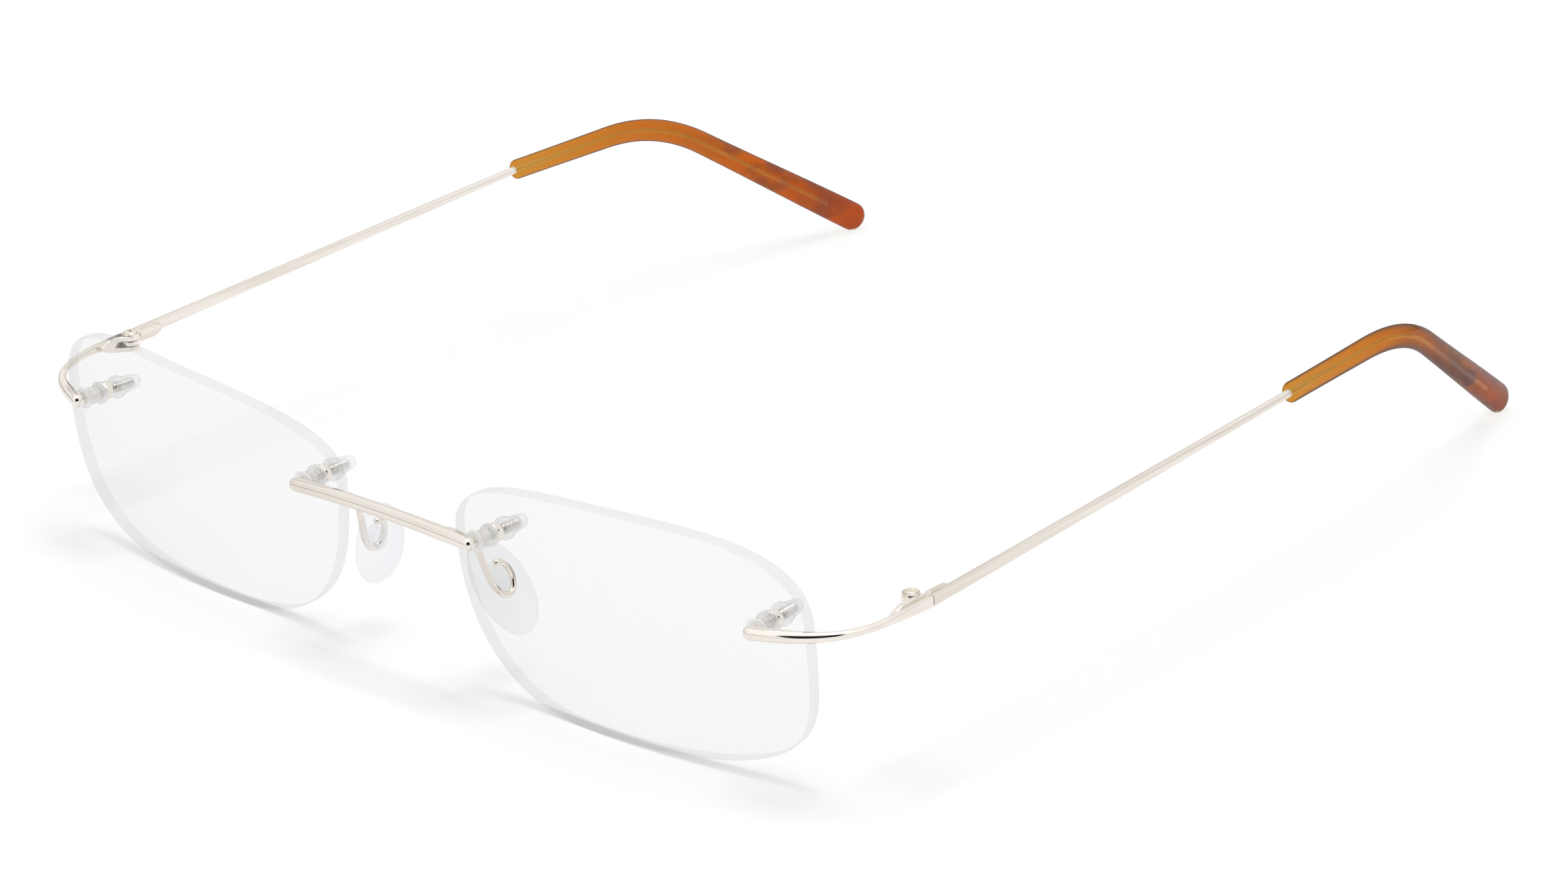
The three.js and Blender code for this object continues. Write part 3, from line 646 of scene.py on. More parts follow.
def amber_plastic():
    """Clear amber that deepens from the mouth of the tip to its end. Dark clouds gather past
    the bend and thin out again at the end. They are fainter on the wearer's right. The rim is
    dark near the mouth and turns to a pale grey painted sheen, a painted reflection, towards the end."""
    material, tree, output = new_material("amber_plastic")
    place = position(tree)
    axes = add_node(tree, "ShaderNodeSeparateXYZ", {0: place}).outputs
    cloudiness = remap(tree, axes["X"], (-30 * MM, 30 * MM), (0.6, 1.0))
    mouth_y = (hinge.y + TIP_MOUTH.y) * MM
    end_y = (hinge.y + TIP_END.y) * MM
    along = remap(tree, axes["Y"], (mouth_y, end_y), (0, 1))
    clear = ramp(tree, along, [
        (0.0, AMBER_MOUTH), (0.35, AMBER_BEND), (0.7, AMBER_SHAFT), (1.0, AMBER_END),
    ])
    cloud_zone = ramp(tree, along, [
        (0.5, BLACK), (0.7, WHITE), (0.88, (0.9, 0.9, 0.9)), (1.0, (0.45, 0.45, 0.45)),
    ])
    mottle = noise(tree, position(tree, (1, 0.6, 1)), scale=230, detail=2, roughness=0.4)
    patches = ramp(tree, mottle, [(0.47, BLACK), (0.56, WHITE)])
    clouds = calculate(tree, "MULTIPLY", calculate(tree, "MULTIPLY", cloud_zone, patches), cloudiness)
    body = mix_colours(tree, clouds, clear, AMBER_CLOUD)
    facing = add_node(tree, "ShaderNodeLayerWeight", {"Blend": 0.5}).outputs["Facing"]
    rim = remap(tree, facing, (0.5, 0.85), (0, 0.85), "SMOOTHSTEP")
    # the rim's tone runs from dark near the mouth to a pale grey painted sheen towards the end, a painted
    # reflection
    dark_rim_to_painted_sheen = ramp(tree, along, [(0.2, AMBER_DARK_RIM), (0.8, AMBER_PAINTED_SHEEN)])
    inside = add_node(tree, "ShaderNodeNewGeometry").outputs["Backfacing"]
    depth = spread(tree, inside, 0.75, 0.35)
    through = add_node(tree, "ShaderNodeGamma", {"Color": body, "Gamma": depth}).outputs[0]
    see_through(
        tree, output,
        tone=mix_colours(tree, rim, through, dark_rim_to_painted_sheen),
        shade=AMBER_SHADE,
        milk=body,
        haze=0.03,
        roughness=spread(tree, noise(tree, place, scale=700), 0.04, 0.1),
        gloss=0.4,
    )
    return material


# ---------------------------------------------------------------- materials

STREAKS_ALONG_X = (0.03, 1, 1)
STREAKS_ALONG_Y = (1, 0.03, 1)
COARSE_CLOUDS = (0.25, 0.25, 0.25)
FINE_CLOUDS = (1, 1, 1)

bridge_metal = polished_metal("bridge_metal", GOLD, STREAKS_ALONG_X, roughness=(0.06, 0.13))
temple_metal = polished_metal("temple_metal", GOLD, STREAKS_ALONG_Y, roughness=(0.10, 0.18))
small_metal = polished_metal("small_metal", SMALL_GOLD, COARSE_CLOUDS, roughness=(0.04, 0.09))
screw_metal = polished_metal("screw_metal", SCREW_GOLD, COARSE_CLOUDS, roughness=(0.04, 0.09))
steel = polished_metal("steel", STEEL, FINE_CLOUDS, roughness=(0.25, 0.4))
stud_metal = polished_metal("stud_metal", STUD, FINE_CLOUDS, roughness=(0.2, 0.35))

lens_face = clear_plastic("lens_face", (0.957, 0.959, 0.958), (0.93, 0.93, 0.93), gloss=0.12, milk=0.0)
lens_edge = clear_plastic(
    "lens_edge", (0.865, 0.872, 0.862), (0.85, 0.855, 0.845), gloss=0.3, milk=0.12, shade=0.6,
)
washer_plastic = clear_plastic("washer_plastic", FITTING_TINT, FITTING_RIM, gloss=0.7, milk=0.5)
sleeve_plastic = clear_plastic("sleeve_plastic", FITTING_TINT, FITTING_RIM, gloss=0.7, milk=0.35)
liner_plastic = clear_plastic("liner_plastic", (0.99, 0.987, 0.98), (0.9, 0.89, 0.87), gloss=0.3, milk=0.2)
cap_plastic = clear_plastic("cap_plastic", (0.985, 0.986, 0.988), FITTING_RIM, gloss=0.7, milk=0.2)
pad_plastic = clear_plastic("pad_plastic", (0.96, 0.964, 0.973), (0.84, 0.86, 0.89), gloss=0.5, milk=0.1)
amber = amber_plastic()

# ---------------------------------------------------------------- CAD bodies, wearer's left and right

FRONT = ("front", "front")
TEMPLES = ("temple_left", "temple_right")
PADS = ("pad_left", "pad_right")

# ---------------------------------------------------------------- lenses


def lens_outline(steps=36):
    corners = [Vector((*corner, 0)) for corner in LENS_CORNERS]
    headings = [Vector(heading) for heading in ((1, 0, 0), (0, -1, 0), (-1, 0, 0), (0, 1, 0))]
    outline = []
    for quarter, (leave, arrive) in enumerate(LENS_REACH):
        following = (quarter + 1) % 4
        start, end = corners[quarter], corners[following]
        controls = [start, start + headings[quarter] * leave, end - headings[following] * arrive, end]
        outline += bezier(controls, steps)[:-1]
    return outline


def lens_point(across, up, depth):
    sag = LENS_RADIUS - math.sqrt(LENS_RADIUS ** 2 - across ** 2 - up ** 2)
    turn = Matrix.Rotation(LENS_TILT, 3, "X") @ Matrix.Rotation(LENS_WRAP, 3, "Z")
    return turn @ Vector((across, sag + depth, up))


def lens_geometry(face_rings=10, bevel_steps=4):
    outline = lens_outline()
    levels = [(share / face_rings, LENS_THICKNESS) for share in range(1, face_rings)]
    for step in range(bevel_steps + 1):
        angle = step / bevel_steps * math.pi / 2
        levels.append((
            1 - LENS_BEVEL / LENS_HALF_WIDTH * (1 - math.sin(angle)),
            LENS_THICKNESS - LENS_BEVEL * (1 - math.cos(angle)),
        ))
    levels += [(scale, LENS_THICKNESS - depth) for scale, depth in reversed(levels)]
    rings = []
    for scale, depth in levels:
        rings.append([lens_point(point.x * scale, point.y * scale, depth) for point in outline])
    points, faces = loft(rings)
    low, high = (Vector(map(pick, zip(*points))) for pick in (min, max))
    shift = middle("lens_left") - (low + high) / 2
    return [point + shift for point in points], faces


def drill_lens(lens, mirrored):
    """Cuts both bolt holes."""
    for bolt in bolts.values():
        points, faces = lathe(bolt, [(LENS_HOLE_RADIUS, -4), (LENS_HOLE_RADIUS, 8)])
        if mirrored:
            points = [mirror_point(point) for point in points]
        cut(lens, (points, faces))


def dress_lens(lens, mirrored):
    """Gives the faces, the outer edge and the walls of the holes their own plastic."""
    face_slot, edge_slot, hole_slot = range(3)
    hole_reach = LENS_HOLE_RADIUS + 0.1
    lens.data.materials.append(lens_edge)
    lens.data.materials.append(liner_plastic)
    for face in lens.data.polygons:
        centre = face.center / MM
        if mirrored:
            centre = mirror_point(centre)
        from_bolt = min(bolt.distance_from_axis(centre) for bolt in bolts.values())
        if abs(face.normal.y) >= LENS_FACE_LEAN:
            face.material_index = face_slot
        elif from_bolt < hole_reach:
            face.material_index = hole_slot
        else:
            face.material_index = edge_slot


lenses = add_pair("clear_lens", lens_geometry(), lens_face, FRONT, "lens", 60)
for clear_lens, is_mirrored in zip(lenses, (False, True)):
    drill_lens(clear_lens, is_mirrored)
    dress_lens(clear_lens, is_mirrored)

# ---------------------------------------------------------------- lens mounts


def lens_lean(bolt, near=9, forward=0.8):
    """Slope of the front of the CAD lens near a bolt, along the bolt's across and up."""
    total = Vector()
    for face in frame["nodes"]["lens_left"].data.polygons:
        offset = face.center / MM - bolt.origin
        if offset.length < near and face.normal.y < -forward:
            total += face.normal * face.area
    normal = total.normalized()
    straight = -normal.dot(bolt.back)
    return normal.dot(bolt.across) / straight, normal.dot(bolt.up) / straight


def leaning_ring(bolt, radii, ends, leans, rounding=0.12, sides=48):
    """A washer whose two faces may lean with the lens.
    ends are where its faces lie along the bolt. A lean of 1 follows the lens, 0 is square."""
    lean_across, lean_up = lens_lean(bolt)
    inner, outer = radii
    start, end = ends
    profile = rounded_profile([(inner, start), (outer, start), (outer, end), (inner, end)], rounding)
    rings = []
    for radius, along in profile:
        lean = leans[0] + (leans[1] - leans[0]) * (along - start) / (end - start)
        ring = []
        for angle in full_turn(sides):
            slope = radius * (math.cos(angle) * lean_across + math.sin(angle) * lean_up)
            ring.append(bolt.point(radius, angle, along + lean * slope))
        rings.append(ring)
    return loft(rings, closed=True)


def stud_geometry(bolt, sides=32, rows=150):
    chamfer_depth, chamfer_length = STUD_CHAMFER
    stud_end = STUD_LENGTH - STUD_LEAD
    rings = []
    for row in range(rows + 1):
        along = STUD_LENGTH * row / rows - STUD_LEAD
        thread = THREAD_DEPTH * min(max((along - THREAD_START) / THREAD_RUN_IN, 0), 1)
        taper = chamfer_depth * max(1 - (stud_end - along) / chamfer_length, 0)
        ring = []
        for side, angle in enumerate(full_turn(sides)):
            phase = (along / THREAD_PITCH - side / sides) % 1
            groove = thread * abs(2 * phase - 1)
            ring.append(bolt.point(STUD_RADIUS - groove - taper, angle, along))
        rings.append(ring)
    return loft(rings)


def nut_geometry(bolt, per_flat=8):
    """A hexagon nut, chamfered at its corners and at the mouths of its bore."""
    inner = STUD_RADIUS + FIT_GAP
    mouth_width = 0.1
    mouth_depth = 0.08
    levels = [
        (inner, NUT_START + mouth_depth),
        (inner + mouth_width, NUT_START),
        (NUT_FACE_RADIUS, NUT_START),
        (math.inf, NUT_START + NUT_CHAMFER),
    ]
    levels += [(limit, NUT_START + NUT_END - along) for limit, along in reversed(levels)]
    half_flat = math.pi / 6
    rings = []
    for limit, along in levels:
        ring = []
        for side in range(6 * per_flat):
            within = (side % per_flat) / per_flat * 2 * half_flat - half_flat
            flat = NUT_RADIUS * math.cos(half_flat) / math.cos(within)
            angle = (side / per_flat * 2 + 1) * half_flat
            ring.append(bolt.point(min(flat, limit), angle, along))
        rings.append(ring)
    return loft(rings, closed=True)


def cap_geometry(bolt, dome_steps=10):
    """A clear cap: a closed bore, a rim at its mouth, then a step down to a domed nose."""
    dome = []
    for step in range(dome_steps):
        angle = step / dome_steps * math.pi / 2
        dome.append((
            CAP_TIP_RADIUS * math.cos(angle),
            CAP_END - CAP_TIP_RADIUS * (1 - math.sin(angle)),
        ))
    bore_end = STUD_LENGTH - STUD_LEAD + 0.06
    bore = [
        (0.1, bore_end),
        (BORE_RADIUS - 0.1, bore_end),
        (BORE_RADIUS, bore_end - 0.1),
        (BORE_RADIUS, CAP_START + 0.06),
        (BORE_RADIUS + 0.06, CAP_START),
    ]
    rim_and_step = [(CAP_BASE_RADIUS - inward, CAP_START + along) for inward, along in (
        (0.12, 0), (0.03, 0.05), (0, 0.15), (0, 0.6), (0.06, 0.75), (0.25, 0.9), (0.3, 1.05),
    )]
    return lathe(bolt, [*bore, *rim_and_step, *dome, (0.05, CAP_END)])


def add_mount(side, bolt):
    """All pieces of one bolt, from the bar to the cap."""
    bar_back = BAR_RADIUS - BAR_STANDOFF
    flange_end = LENS_THICKNESS + FLANGE_THICKNESS
    add_pair(f"threaded_stud_{side}", stud_geometry(bolt), stud_metal, FRONT, f"stud_{side}")
    washer = leaning_ring(bolt, (BORE_RADIUS, WASHER_RADIUS), (bar_back + FIT_GAP, -0.04), (0, 1))
    add_pair(
        f"clear_washer_{side}", washer, washer_plastic, FRONT, f"front_washer_{side}",
    )
    flange = leaning_ring(
        bolt, (BORE_RADIUS, FLANGE_RADIUS), (LENS_THICKNESS + FIT_GAP, flange_end), (1, 0),
    )
    add_pair(f"clear_flange_{side}", flange, sleeve_plastic, FRONT, f"sleeve_{side}")
    liner = leaning_ring(
        bolt, (BORE_RADIUS, LENS_HOLE_RADIUS - 0.06), (0.1, LENS_THICKNESS), (1, 1), rounding=0.04,
    )
    add_pair(f"clear_liner_{side}", liner, liner_plastic, FRONT, None)
    thin_washer = leaning_ring(
        bolt, (BORE_RADIUS, FLANGE_RADIUS - 0.15), (flange_end + FIT_GAP, flange_end + 0.25), (0, 0),
        rounding=0.06,
    )
    add_pair(f"thin_washer_{side}", thin_washer, steel, FRONT, f"metal_washer_{side}")
    add_pair(
        f"chamfered_nut_{side}", nut_geometry(bolt), small_metal, FRONT, f"hex_nut_{side}", 12,
    )
    add_pair(f"clear_cap_{side}", cap_geometry(bolt), cap_plastic, FRONT, f"end_cap_{side}")


for bolt_side, bolt_axis in bolts.items():
    add_mount(bolt_side, bolt_axis)

# ---------------------------------------------------------------- bridge

bridge_end = bolts["nasal"].origin - bolts["nasal"].back * BAR_STANDOFF


def bridge_path():
    end = bridge_end + Vector((BAR_OVERHANG, 0, 0))
    pull = Vector((0, end.y - 2 * BRIDGE_BOW, end.z + 2 * BRIDGE_RISE))
    return bezier([end, pull, mirror_point(end)], 60)


def bridge_geometry():
    path = bridge_path()

    def section(distance, length):
        to_end = min(distance, length - distance)
        radius = blend(BAR_RADIUS, BRIDGE_WAIST_RADIUS, 2 * to_end / length)
        radius *= round_share(to_end, BAR_RADIUS)
        return rounded_section(radius, radius, radius, 10)

    return loft(sweep(path, stations(path_length(path), BAR_RADIUS, BAR_RADIUS, 0.8), section))


bridge = make_object("polished_bridge", *bridge_geometry(), bridge_metal)
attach(bridge, "front")
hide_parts("bridge_bar")

# ---------------------------------------------------------------- end piece and hinge

temple_x = hinge.x + TEMPLE_OFFSET_X
joint_y = hinge.y + JOINT_OFFSET_Y
inner_face_x = temple_x - BLADE_HALF_THICKNESS
leaf_x = inner_face_x - LEAF_THICKNESS
leaf_start_y = hinge.y + KNUCKLE_RADIUS + 0.35
screw_head_base = KNUCKLE_TOP + FIT_GAP


def end_piece_geometry():
    """A bar that starts in front of the bolt, sweeps back round the lens and ends as a flat blade."""
    bolt = bolts["temporal"]
    start = bolt.origin - bolt.back * BAR_STANDOFF
    path = bezier([
        start + BAR_END_HEADING * BAR_OVERHANG,
        start + Vector((5.6, 2.0, 0)),
        Vector((temple_x - 0.8, joint_y - 14.4, start.z)),
        Vector((temple_x, joint_y - 6.8, hinge.z)),
    ], 80)
    path.append(Vector((temple_x, joint_y, hinge.z)))

    def section(distance, length):
        share = distance / length
        taper = share / WAIST_SHARE
        if taper < 1:
            half_height = blend(BAR_RADIUS, WAIST_HALF_HEIGHT, taper)
        else:
            rise = (share - WAIST_SHARE) / (1 - WAIST_SHARE)
            half_height = blend(WAIST_HALF_HEIGHT, BLADE_HALF_HEIGHT, rise)
        half_width = blend(BAR_RADIUS, BLADE_HALF_THICKNESS, taper)
        corner = blend(BAR_RADIUS, BLADE_CORNER, share * 1.4 - 0.4)
        size = round_share(distance, BAR_RADIUS)
        return rounded_section(half_width * size, half_height * size, corner * size, 8)

    return loft(sweep(path, stations(path_length(path), BAR_RADIUS, 0, 0.45), section))


def tangent_angle(centre, corner, turn):
    """Angle at which the line from a corner touches the knuckle's circle, on the side named by turn."""
    offset = corner - centre
    touch = math.acos(min(KNUCKLE_RADIUS / offset.length, 1))
    return math.atan2(offset.y, offset.x) + turn * touch


def knuckle_plate(level, near_y, far_y, reach_x, edge=0.07, steps=40):
    """A flat plate: the knuckle's circle drawn out to a straight side at reach_x,
    between near_y and far_y. Its upper and lower edges are rounded."""
    corners = (Vector((reach_x, near_y, 0)), Vector((reach_x, far_y, 0)))
    centre = Vector((hinge.x, hinge.y, 0))
    start, end = (tangent_angle(centre, corner, turn) for corner, turn in zip(corners, (-1, 1)))
    if end < start:
        end += 2 * math.pi
    outline = list(corners)
    for step in range(steps + 1):
        angle = end + (start + 2 * math.pi - end) * step / steps
        outline.append(centre + Vector((math.cos(angle), math.sin(angle), 0)) * KNUCKLE_RADIUS)
    balance = sum(outline, Vector()) / len(outline)
    inward = [(balance - point).normalized() for point in outline]
    half = KNUCKLE_HEIGHT / 2
    upper = [(half - edge, 0), (half - edge * 0.3, edge * 0.3), (half, edge)]
    lower = [(-height, inset) for height, inset in reversed(upper)]
    rings = []
    for height, inset in (*lower, *upper):
        lift = Vector((0, 0, level + height))
        rings.append([point + aim * inset + lift for point, aim in zip(outline, inward)])
    return loft(rings)


def hinge_leaf(start_y, end_y, low_share, rise_length, fall_length):
    """A leaf lying along Y, soldered to the inner face of the blade.
    Its height rises from low_share at one end and falls back to it at the other."""
    half_width = (LEAF_THICKNESS + LEAF_LAP) / 2
    middle_x = (leaf_x + inner_face_x + LEAF_LAP) / 2
    path = [Vector((middle_x, y, hinge.z)) for y in (start_y, end_y)]

    def section(distance, length):
        to_end = length - distance
        rise = low_share + (1 - low_share) * ease(distance / rise_length)
        fall = low_share + (1 - low_share) * ease(to_end / fall_length)
        tuck = min(round_share(distance, LEAF_ROUND), round_share(to_end, LEAF_ROUND))
        return rounded_section(
            half_width * (0.7 + 0.3 * tuck),
            LEAF_HALF_HEIGHT * min(rise, fall) * (0.8 + 0.2 * tuck),
            BLADE_CORNER,
            5,
        )

    length = end_y - start_y
    inner = stations(length, LEAF_ROUND, LEAF_ROUND, 0.12, 5)
    return loft(sweep(path, [0, *inner, length], section))


add_pair("curved_end_piece", end_piece_geometry(), small_metal, FRONT, "end_piece")
front_leaf = hinge_leaf(
    hinge.y - LEAF_LENGTH, hinge.y - KNUCKLE_RADIUS - 0.15,
    low_share=0.35, rise_length=1.7, fall_length=0.2,
)
add_pair("front_hinge_leaf", front_leaf, small_metal, FRONT, None)
plate_x = inner_face_x + LEAF_LAP / 2
for place, offset in (("upper", KNUCKLE_STEP), ("lower", -KNUCKLE_STEP)):
    front_knuckle = knuckle_plate(hinge.z + offset, hinge.y - 3.0, hinge.y + 0.8, plate_x)
    add_pair(f"{place}_knuckle", front_knuckle, small_metal, FRONT, None)


def collar_geometry():
    """Raised rim of the upper knuckle that the screw head sits in."""
    inner = SCREW_HEAD_RADIUS + 0.04
    bottom = KNUCKLE_TOP - 0.05
    top = KNUCKLE_TOP + COLLAR_HEIGHT
    profile = [
        (inner, bottom), (inner, top - 0.05), (inner + 0.06, top),
        (KNUCKLE_RADIUS - 0.1, top), (KNUCKLE_RADIUS - 0.03, top - 0.03), (KNUCKLE_RADIUS, top - 0.1),
        (KNUCKLE_RADIUS, bottom),
    ]
    return turn_on_hinge(profile, sides=56, closed=True)


def screw_geometry(dome_steps=8):
    dome = []
    for step in range(dome_steps):
        angle = step / dome_steps * math.pi / 2
        dome.append((
            SCREW_HEAD_RADIUS * math.cos(angle),
            screw_head_base + SCREW_HEAD_HEIGHT * (0.45 + 0.55 * math.sin(angle)),
        ))
    shank_end = -screw_head_base - 0.2
    shank = [
        (0.04, shank_end), (SCREW_RADIUS - 0.12, shank_end),
        (SCREW_RADIUS, shank_end + 0.12), (SCREW_RADIUS, screw_head_base),
    ]
    head = [
        (SCREW_HEAD_RADIUS - 0.06, screw_head_base), (SCREW_HEAD_RADIUS, screw_head_base + 0.06),
        *dome, (0.04, screw_head_base + SCREW_HEAD_HEIGHT),
    ]
    return turn_on_hinge([*shank, *head])


def cut_slot(screw, mirror):
    """The driver slot across the head, turned the other way on the mirrored side."""
    head_top = screw_head_base + SCREW_HEAD_HEIGHT
    low = Vector((-1.5, -SLOT_WIDTH / 2, head_top - SLOT_DEPTH))
    high = Vector((1.5, SLOT_WIDTH / 2, head_top + 1))
    points, faces = block(low, high, radius=0.02)
    turn = Matrix.Rotation(mirror * math.pi / 5, 3, "Z")
    centre = Vector((mirror * hinge.x, hinge.y, hinge.z))
    cut(screw, ([centre + turn @ point for point in points], faces))


add_pair("screw_collar", collar_geometry(), small_metal, FRONT, None)
screws = add_pair(
    "slotted_hinge_screw", screw_geometry(), screw_metal, FRONT, "hinge_screw",
)
for hinge_screw, screw_mirror in zip(screws, (1, -1)):
    cut_slot(hinge_screw, screw_mirror)

# ---------------------------------------------------------------- temple and tip


def temple_path(setback):
    start = Vector((temple_x, joint_y + JOINT_GAP, hinge.z))
    mouth, corner, end = (hinge + offset for offset in (TIP_MOUTH, TIP_CORNER, TIP_END))
    descent = (end - corner).normalized()
    approach = (mouth - corner).normalized()
    bend = bezier([corner + approach * BEND_LENGTH, corner, corner + descent * BEND_LENGTH], 40)
    last = end + descent * (TIP_HALF_HEIGHT[2] - setback)
    return [start, mouth], [mouth, *bend, last]


def temple_geometry():
    blade, core = temple_path(CORE_SETBACK + TIP_HALF_HEIGHT[2])
    path = blade + core[1:]
    blade_length = path_length(blade)
    length = path_length(path)

    def section(distance, _):
        share = min(distance / blade_length, 1)
        slimming = CORE_TAPER * ease((distance - blade_length) / CORE_TAPER_LENGTH)
        core_radius = CORE_RADIUS * (1 - slimming)
        half_width = BLADE_HALF_THICKNESS + (core_radius - BLADE_HALF_THICKNESS) * share
        half_height = BLADE_HALF_HEIGHT + (core_radius - BLADE_HALF_HEIGHT) * share
        corner = BLADE_CORNER + (CORE_RADIUS - BLADE_CORNER) * share ** 2
        return rounded_section(half_width, half_height, corner, 6)

    return loft(sweep(path, stations(length, 0, 0, 1.2), section))


def tip_geometry(sides=40):
    _, path = temple_path(0)
    end_round = TIP_HALF_HEIGHT[2]
    circle = full_turn(sides)

    def size_at(sizes, share):
        if share < TIP_BEND_SHARE:
            return blend(sizes[0], sizes[1], share / TIP_BEND_SHARE)
        return blend(sizes[1], sizes[2], (share - TIP_BEND_SHARE) / (1 - TIP_BEND_SHARE))

    def section(distance, length):
        mouth = 0.72 + 0.28 * round_share(distance, TIP_MOUTH_ROUND)
        size = round_share(length - distance, end_round) * mouth
        half_width = size_at(TIP_HALF_THICKNESS, distance / length) * size
        half_height = size_at(TIP_HALF_HEIGHT, distance / length) * size
        return [(half_width * math.cos(angle), half_height * math.sin(angle)) for angle in circle]

    inner = stations(path_length(path), TIP_MOUTH_ROUND, end_round, 0.8)
    return loft(sweep(path, [0, *inner], section))


add_pair("flattened_temple", temple_geometry(), temple_metal, TEMPLES, "temple")
temple_leaf = hinge_leaf(
    leaf_start_y, leaf_start_y + LEAF_LENGTH, low_share=0.5, rise_length=0.5, fall_length=1.3,
)
add_pair("temple_hinge_leaf", temple_leaf, temple_metal, TEMPLES, None)
temple_knuckle = knuckle_plate(hinge.z, hinge.y + 0.6, leaf_start_y + 1.2, leaf_x + 0.3)
add_pair("temple_knuckle", temple_knuckle, small_metal, TEMPLES, None)
add_pair("amber_tip", tip_geometry(), amber, TEMPLES, "temple_tip")

# ---------------------------------------------------------------- nose pads and arms

pad_centre = pad_pivot - PAD_DOWN * BOSS_DOWN - pad_out * BOSS_OUT


def pad_point(down, back, out):
    """A point measured from the middle of the pad, along its own axes."""
    return pad_centre + PAD_DOWN * down + pad_back * back + pad_out * out


def pad_geometry(sides=56):
    """A dished oval, thinner and rounded at its rim and a little wider at its lower end."""
    rings = []
    shares = [0.15, 0.3, 0.45, 0.6, 0.72, 0.82, 0.9, 0.95, 0.98, 1.0]
    for face, order in ((-1, shares), (1, reversed(shares))):
        for share in order:
            dish = -PAD_DISH * (1 - share * share)
            into_rim = max((share - PAD_RIM_SHARE) / (1 - PAD_RIM_SHARE), 0)
            roundness = math.sqrt(max(1 - into_rim * into_rim, 0.0))
            half = PAD_THICKNESS / 2 * (1 - PAD_THINNING * share * share) * roundness
            ring = []
            for angle in full_turn(sides):
                egg = 1 + PAD_EGG * math.cos(angle)
                ring.append(pad_point(
                    PAD_HALF_LENGTH * share * math.cos(angle),
                    PAD_HALF_WIDTH * share * math.sin(angle) * egg,
                    dish + face * half,
                ))
            rings.append(ring)
    return loft(rings)


def boss_geometry():
    """The block that stands up from the pad into the wire loop, flared where it meets the pad."""
    rings = []
    for scale, out in (
        (1.25, -0.5), (1.1, -0.2), (1.0, 0.05), (0.97, 0.6),
        (0.95, BOSS_TOP - 0.2), (0.88, BOSS_TOP - 0.05), (0.7, BOSS_TOP),
    ):
        outline = rounded_section(BOSS_HALF_LENGTH * scale, BOSS_HALF_WIDTH * scale, 0.55 * scale, 6)
        rings.append([pad_point(BOSS_DOWN + a, b, out) for a, b in outline])
    return loft(rings)


def arm_geometry():
    """A wire from the back of the bridge, down beside the pad and round its boss."""
    solder = min(bridge_path(), key=lambda point: abs(point.x - ARM_SOLDER_X))
    knots = [
        Vector((ARM_SOLDER_X, solder.y + BAR_RADIUS + 0.1, solder.z - 0.3)),
        Vector((ARM_SOLDER_X - 0.2, solder.y + 3.4, solder.z - 1.5)),
        pad_point(-7.2, -0.9, 1.45),
        pad_point(-4.2, -1.2, 1.05),
        pad_point(-1.2, -1.45, 0.65),
        pad_point(0.6, -0.9, 0.6),
        pad_point(1.1, 0.3, 0.6),
        pad_point(0.1, 1.4, 0.6),
        pad_point(-2.2, 1.5, 0.6),
        pad_point(-3.3, 0.4, 0.6),
    ]
    path = spline(knots, 14)

    def section(distance, length):
        radius = ARM_RADIUS * round_share(length - distance, ARM_RADIUS)
        return rounded_section(radius, radius, radius, 6)

    rings = sweep(path, stations(path_length(path), 0, ARM_RADIUS, 0.3, 5), section, level=pad_out)
    return loft(rings)


add_pair("soft_nose_pad", pad_geometry(), pad_plastic, PADS, "nose_pad", 80)
add_pair("pad_boss", boss_geometry(), pad_plastic, PADS, None, 80)
add_pair("wire_pad_arm", arm_geometry(), small_metal, FRONT, "pad_arm")

# ---------------------------------------------------------------- floor, light and camera


def floor_material():
    material, tree, output = new_material("pale_floor")
    cloud = noise(tree, position(tree), scale=3, detail=2)
    tone = ramp(tree, cloud, [(0.3, (0.93, 0.93, 0.93)), (0.7, (0.95, 0.95, 0.95))])
    shader = add_node(tree, "ShaderNodeBsdfDiffuse", {"Color": tone})
    tree.links.new(shader.outputs[0], output.inputs["Surface"])
    return material


floor_corners = [Vector((x, y, 0)) * FLOOR_REACH for x, y in ((-1, -1), (1, -1), (1, 1), (-1, 1))]
floor = make_object("floor", floor_corners, [(0, 1, 2, 3)], floor_material())

toward_camera = Vector((
    math.sin(CAMERA_AZIMUTH) * math.cos(CAMERA_ELEVATION),
    -math.cos(CAMERA_AZIMUTH) * math.cos(CAMERA_ELEVATION),
    math.sin(CAMERA_ELEVATION),
))


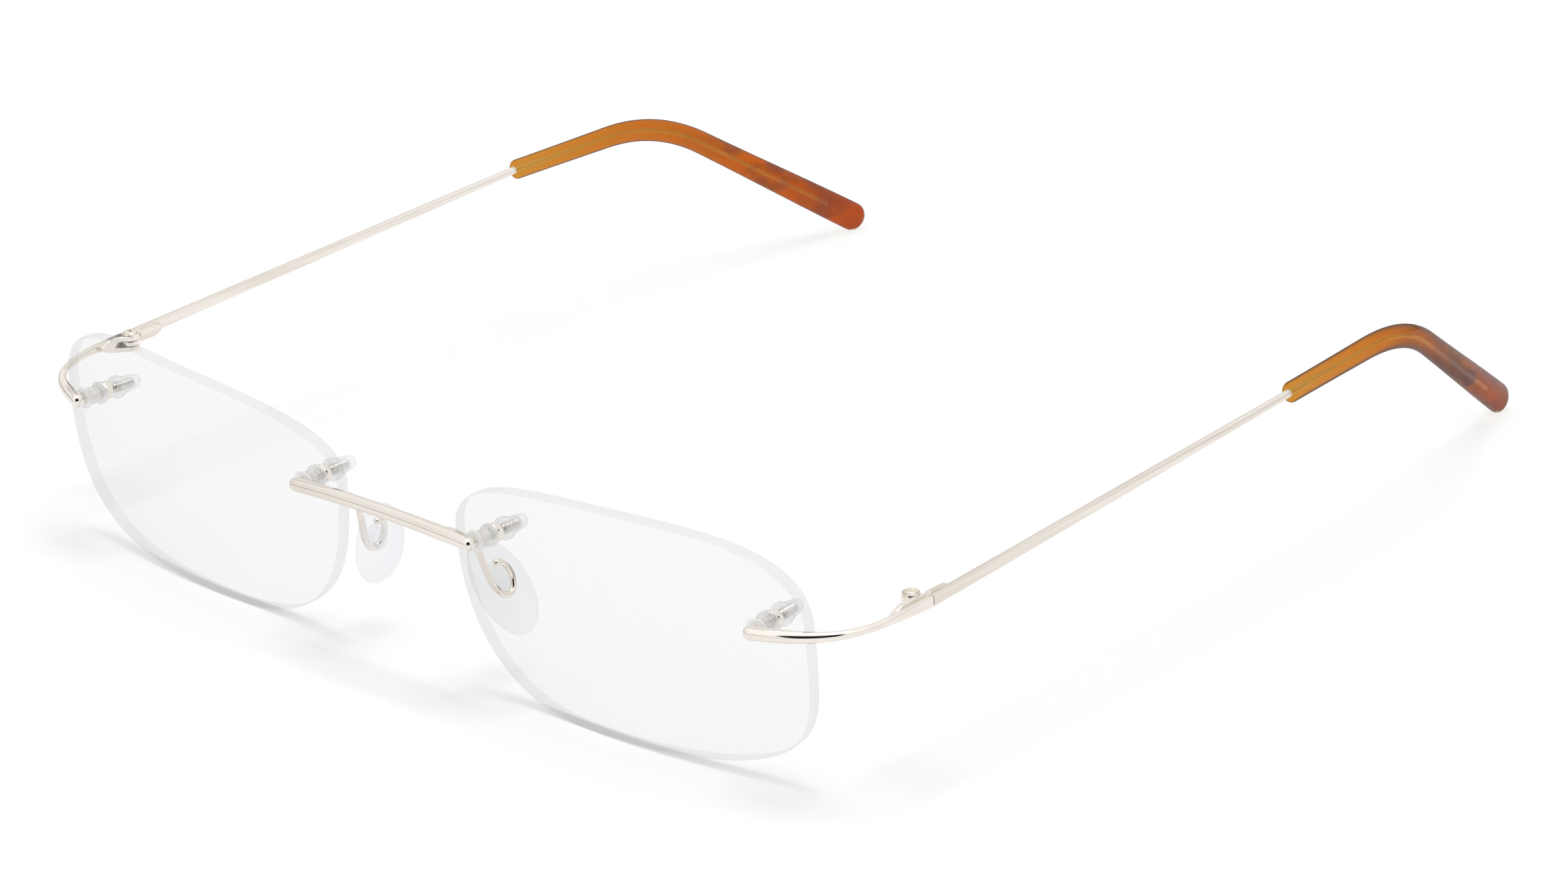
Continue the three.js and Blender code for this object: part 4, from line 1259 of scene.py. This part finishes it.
def add_camera():
    data = bpy.data.cameras.new("camera")
    data.lens = CAMERA_LENS
    data.sensor_width = CAMERA_SENSOR
    data.shift_x, data.shift_y = CAMERA_SHIFT
    data.clip_start = 0.01
    camera = bpy.data.objects.new("camera", data)
    bpy.context.scene.collection.objects.link(camera)
    camera.matrix_world = (
        Matrix.Translation((CAMERA_AIM + toward_camera * CAMERA_DISTANCE) * MM)
        @ toward_camera.to_track_quat("Z", "Y").to_matrix().to_4x4()
        @ Matrix.Rotation(CAMERA_ROLL, 4, "Z")
    )
    bpy.context.scene.camera = camera


def add_softbox():
    data = bpy.data.lights.new("overhead_softbox", "AREA")
    data.shape = "RECTANGLE"
    data.size, data.size_y = SOFTBOX_SIZE
    data.energy = SOFTBOX_POWER
    lamp = bpy.data.objects.new("overhead_softbox", data)
    lamp.location = SOFTBOX_PLACE
    lamp.rotation_euler = (SOFTBOX_PLACE - SOFTBOX_AIM).to_track_quat("Z", "Y").to_euler()
    bpy.context.scene.collection.objects.link(lamp)


def set_world():
    """Even light on everything. Polished surfaces mirror a studio instead: a dim horizon, pale
    walls, a grey band, a white ceiling, and a dark patch round the camera."""
    world = bpy.data.worlds.new("studio")
    bpy.context.scene.world = world
    world.use_nodes = True
    tree = world.node_tree
    tree.nodes.clear()
    direction = add_node(tree, "ShaderNodeTexCoord").outputs["Generated"]
    height = add_node(tree, "ShaderNodeSeparateXYZ", {0: direction}).outputs[2]
    studio = ramp(tree, height, STUDIO_TONES)
    nearness = add_node(
        tree, "ShaderNodeVectorMath", {0: direction, 1: toward_camera}, operation="DOT_PRODUCT"
    ).outputs[1]
    glow = remap(tree, nearness, (0.1, 0.8), STUDIO_GLOW)
    strength = remap(tree, nearness, [math.cos(angle) for angle in DARK_PATCH], (glow, 0.02))
    mirrored = add_node(tree, "ShaderNodeBackground", {"Color": studio, "Strength": strength})
    even = add_node(tree, "ShaderNodeBackground", {"Color": colour_input(WHITE), "Strength": EVEN_LIGHT})
    glossy = add_node(tree, "ShaderNodeLightPath").outputs["Is Glossy Ray"]
    light = mix_shaders(tree, glossy, even, mirrored)
    output = add_node(tree, "ShaderNodeOutputWorld")
    tree.links.new(light.outputs[0], output.inputs["Surface"])


add_camera()
set_world()
add_softbox()
bpy.context.scene.cycles.transparent_max_bounces = 48
bpy.context.scene.cycles.transmission_bounces = 16
bpy.context.scene.view_settings.view_transform = "Standard"
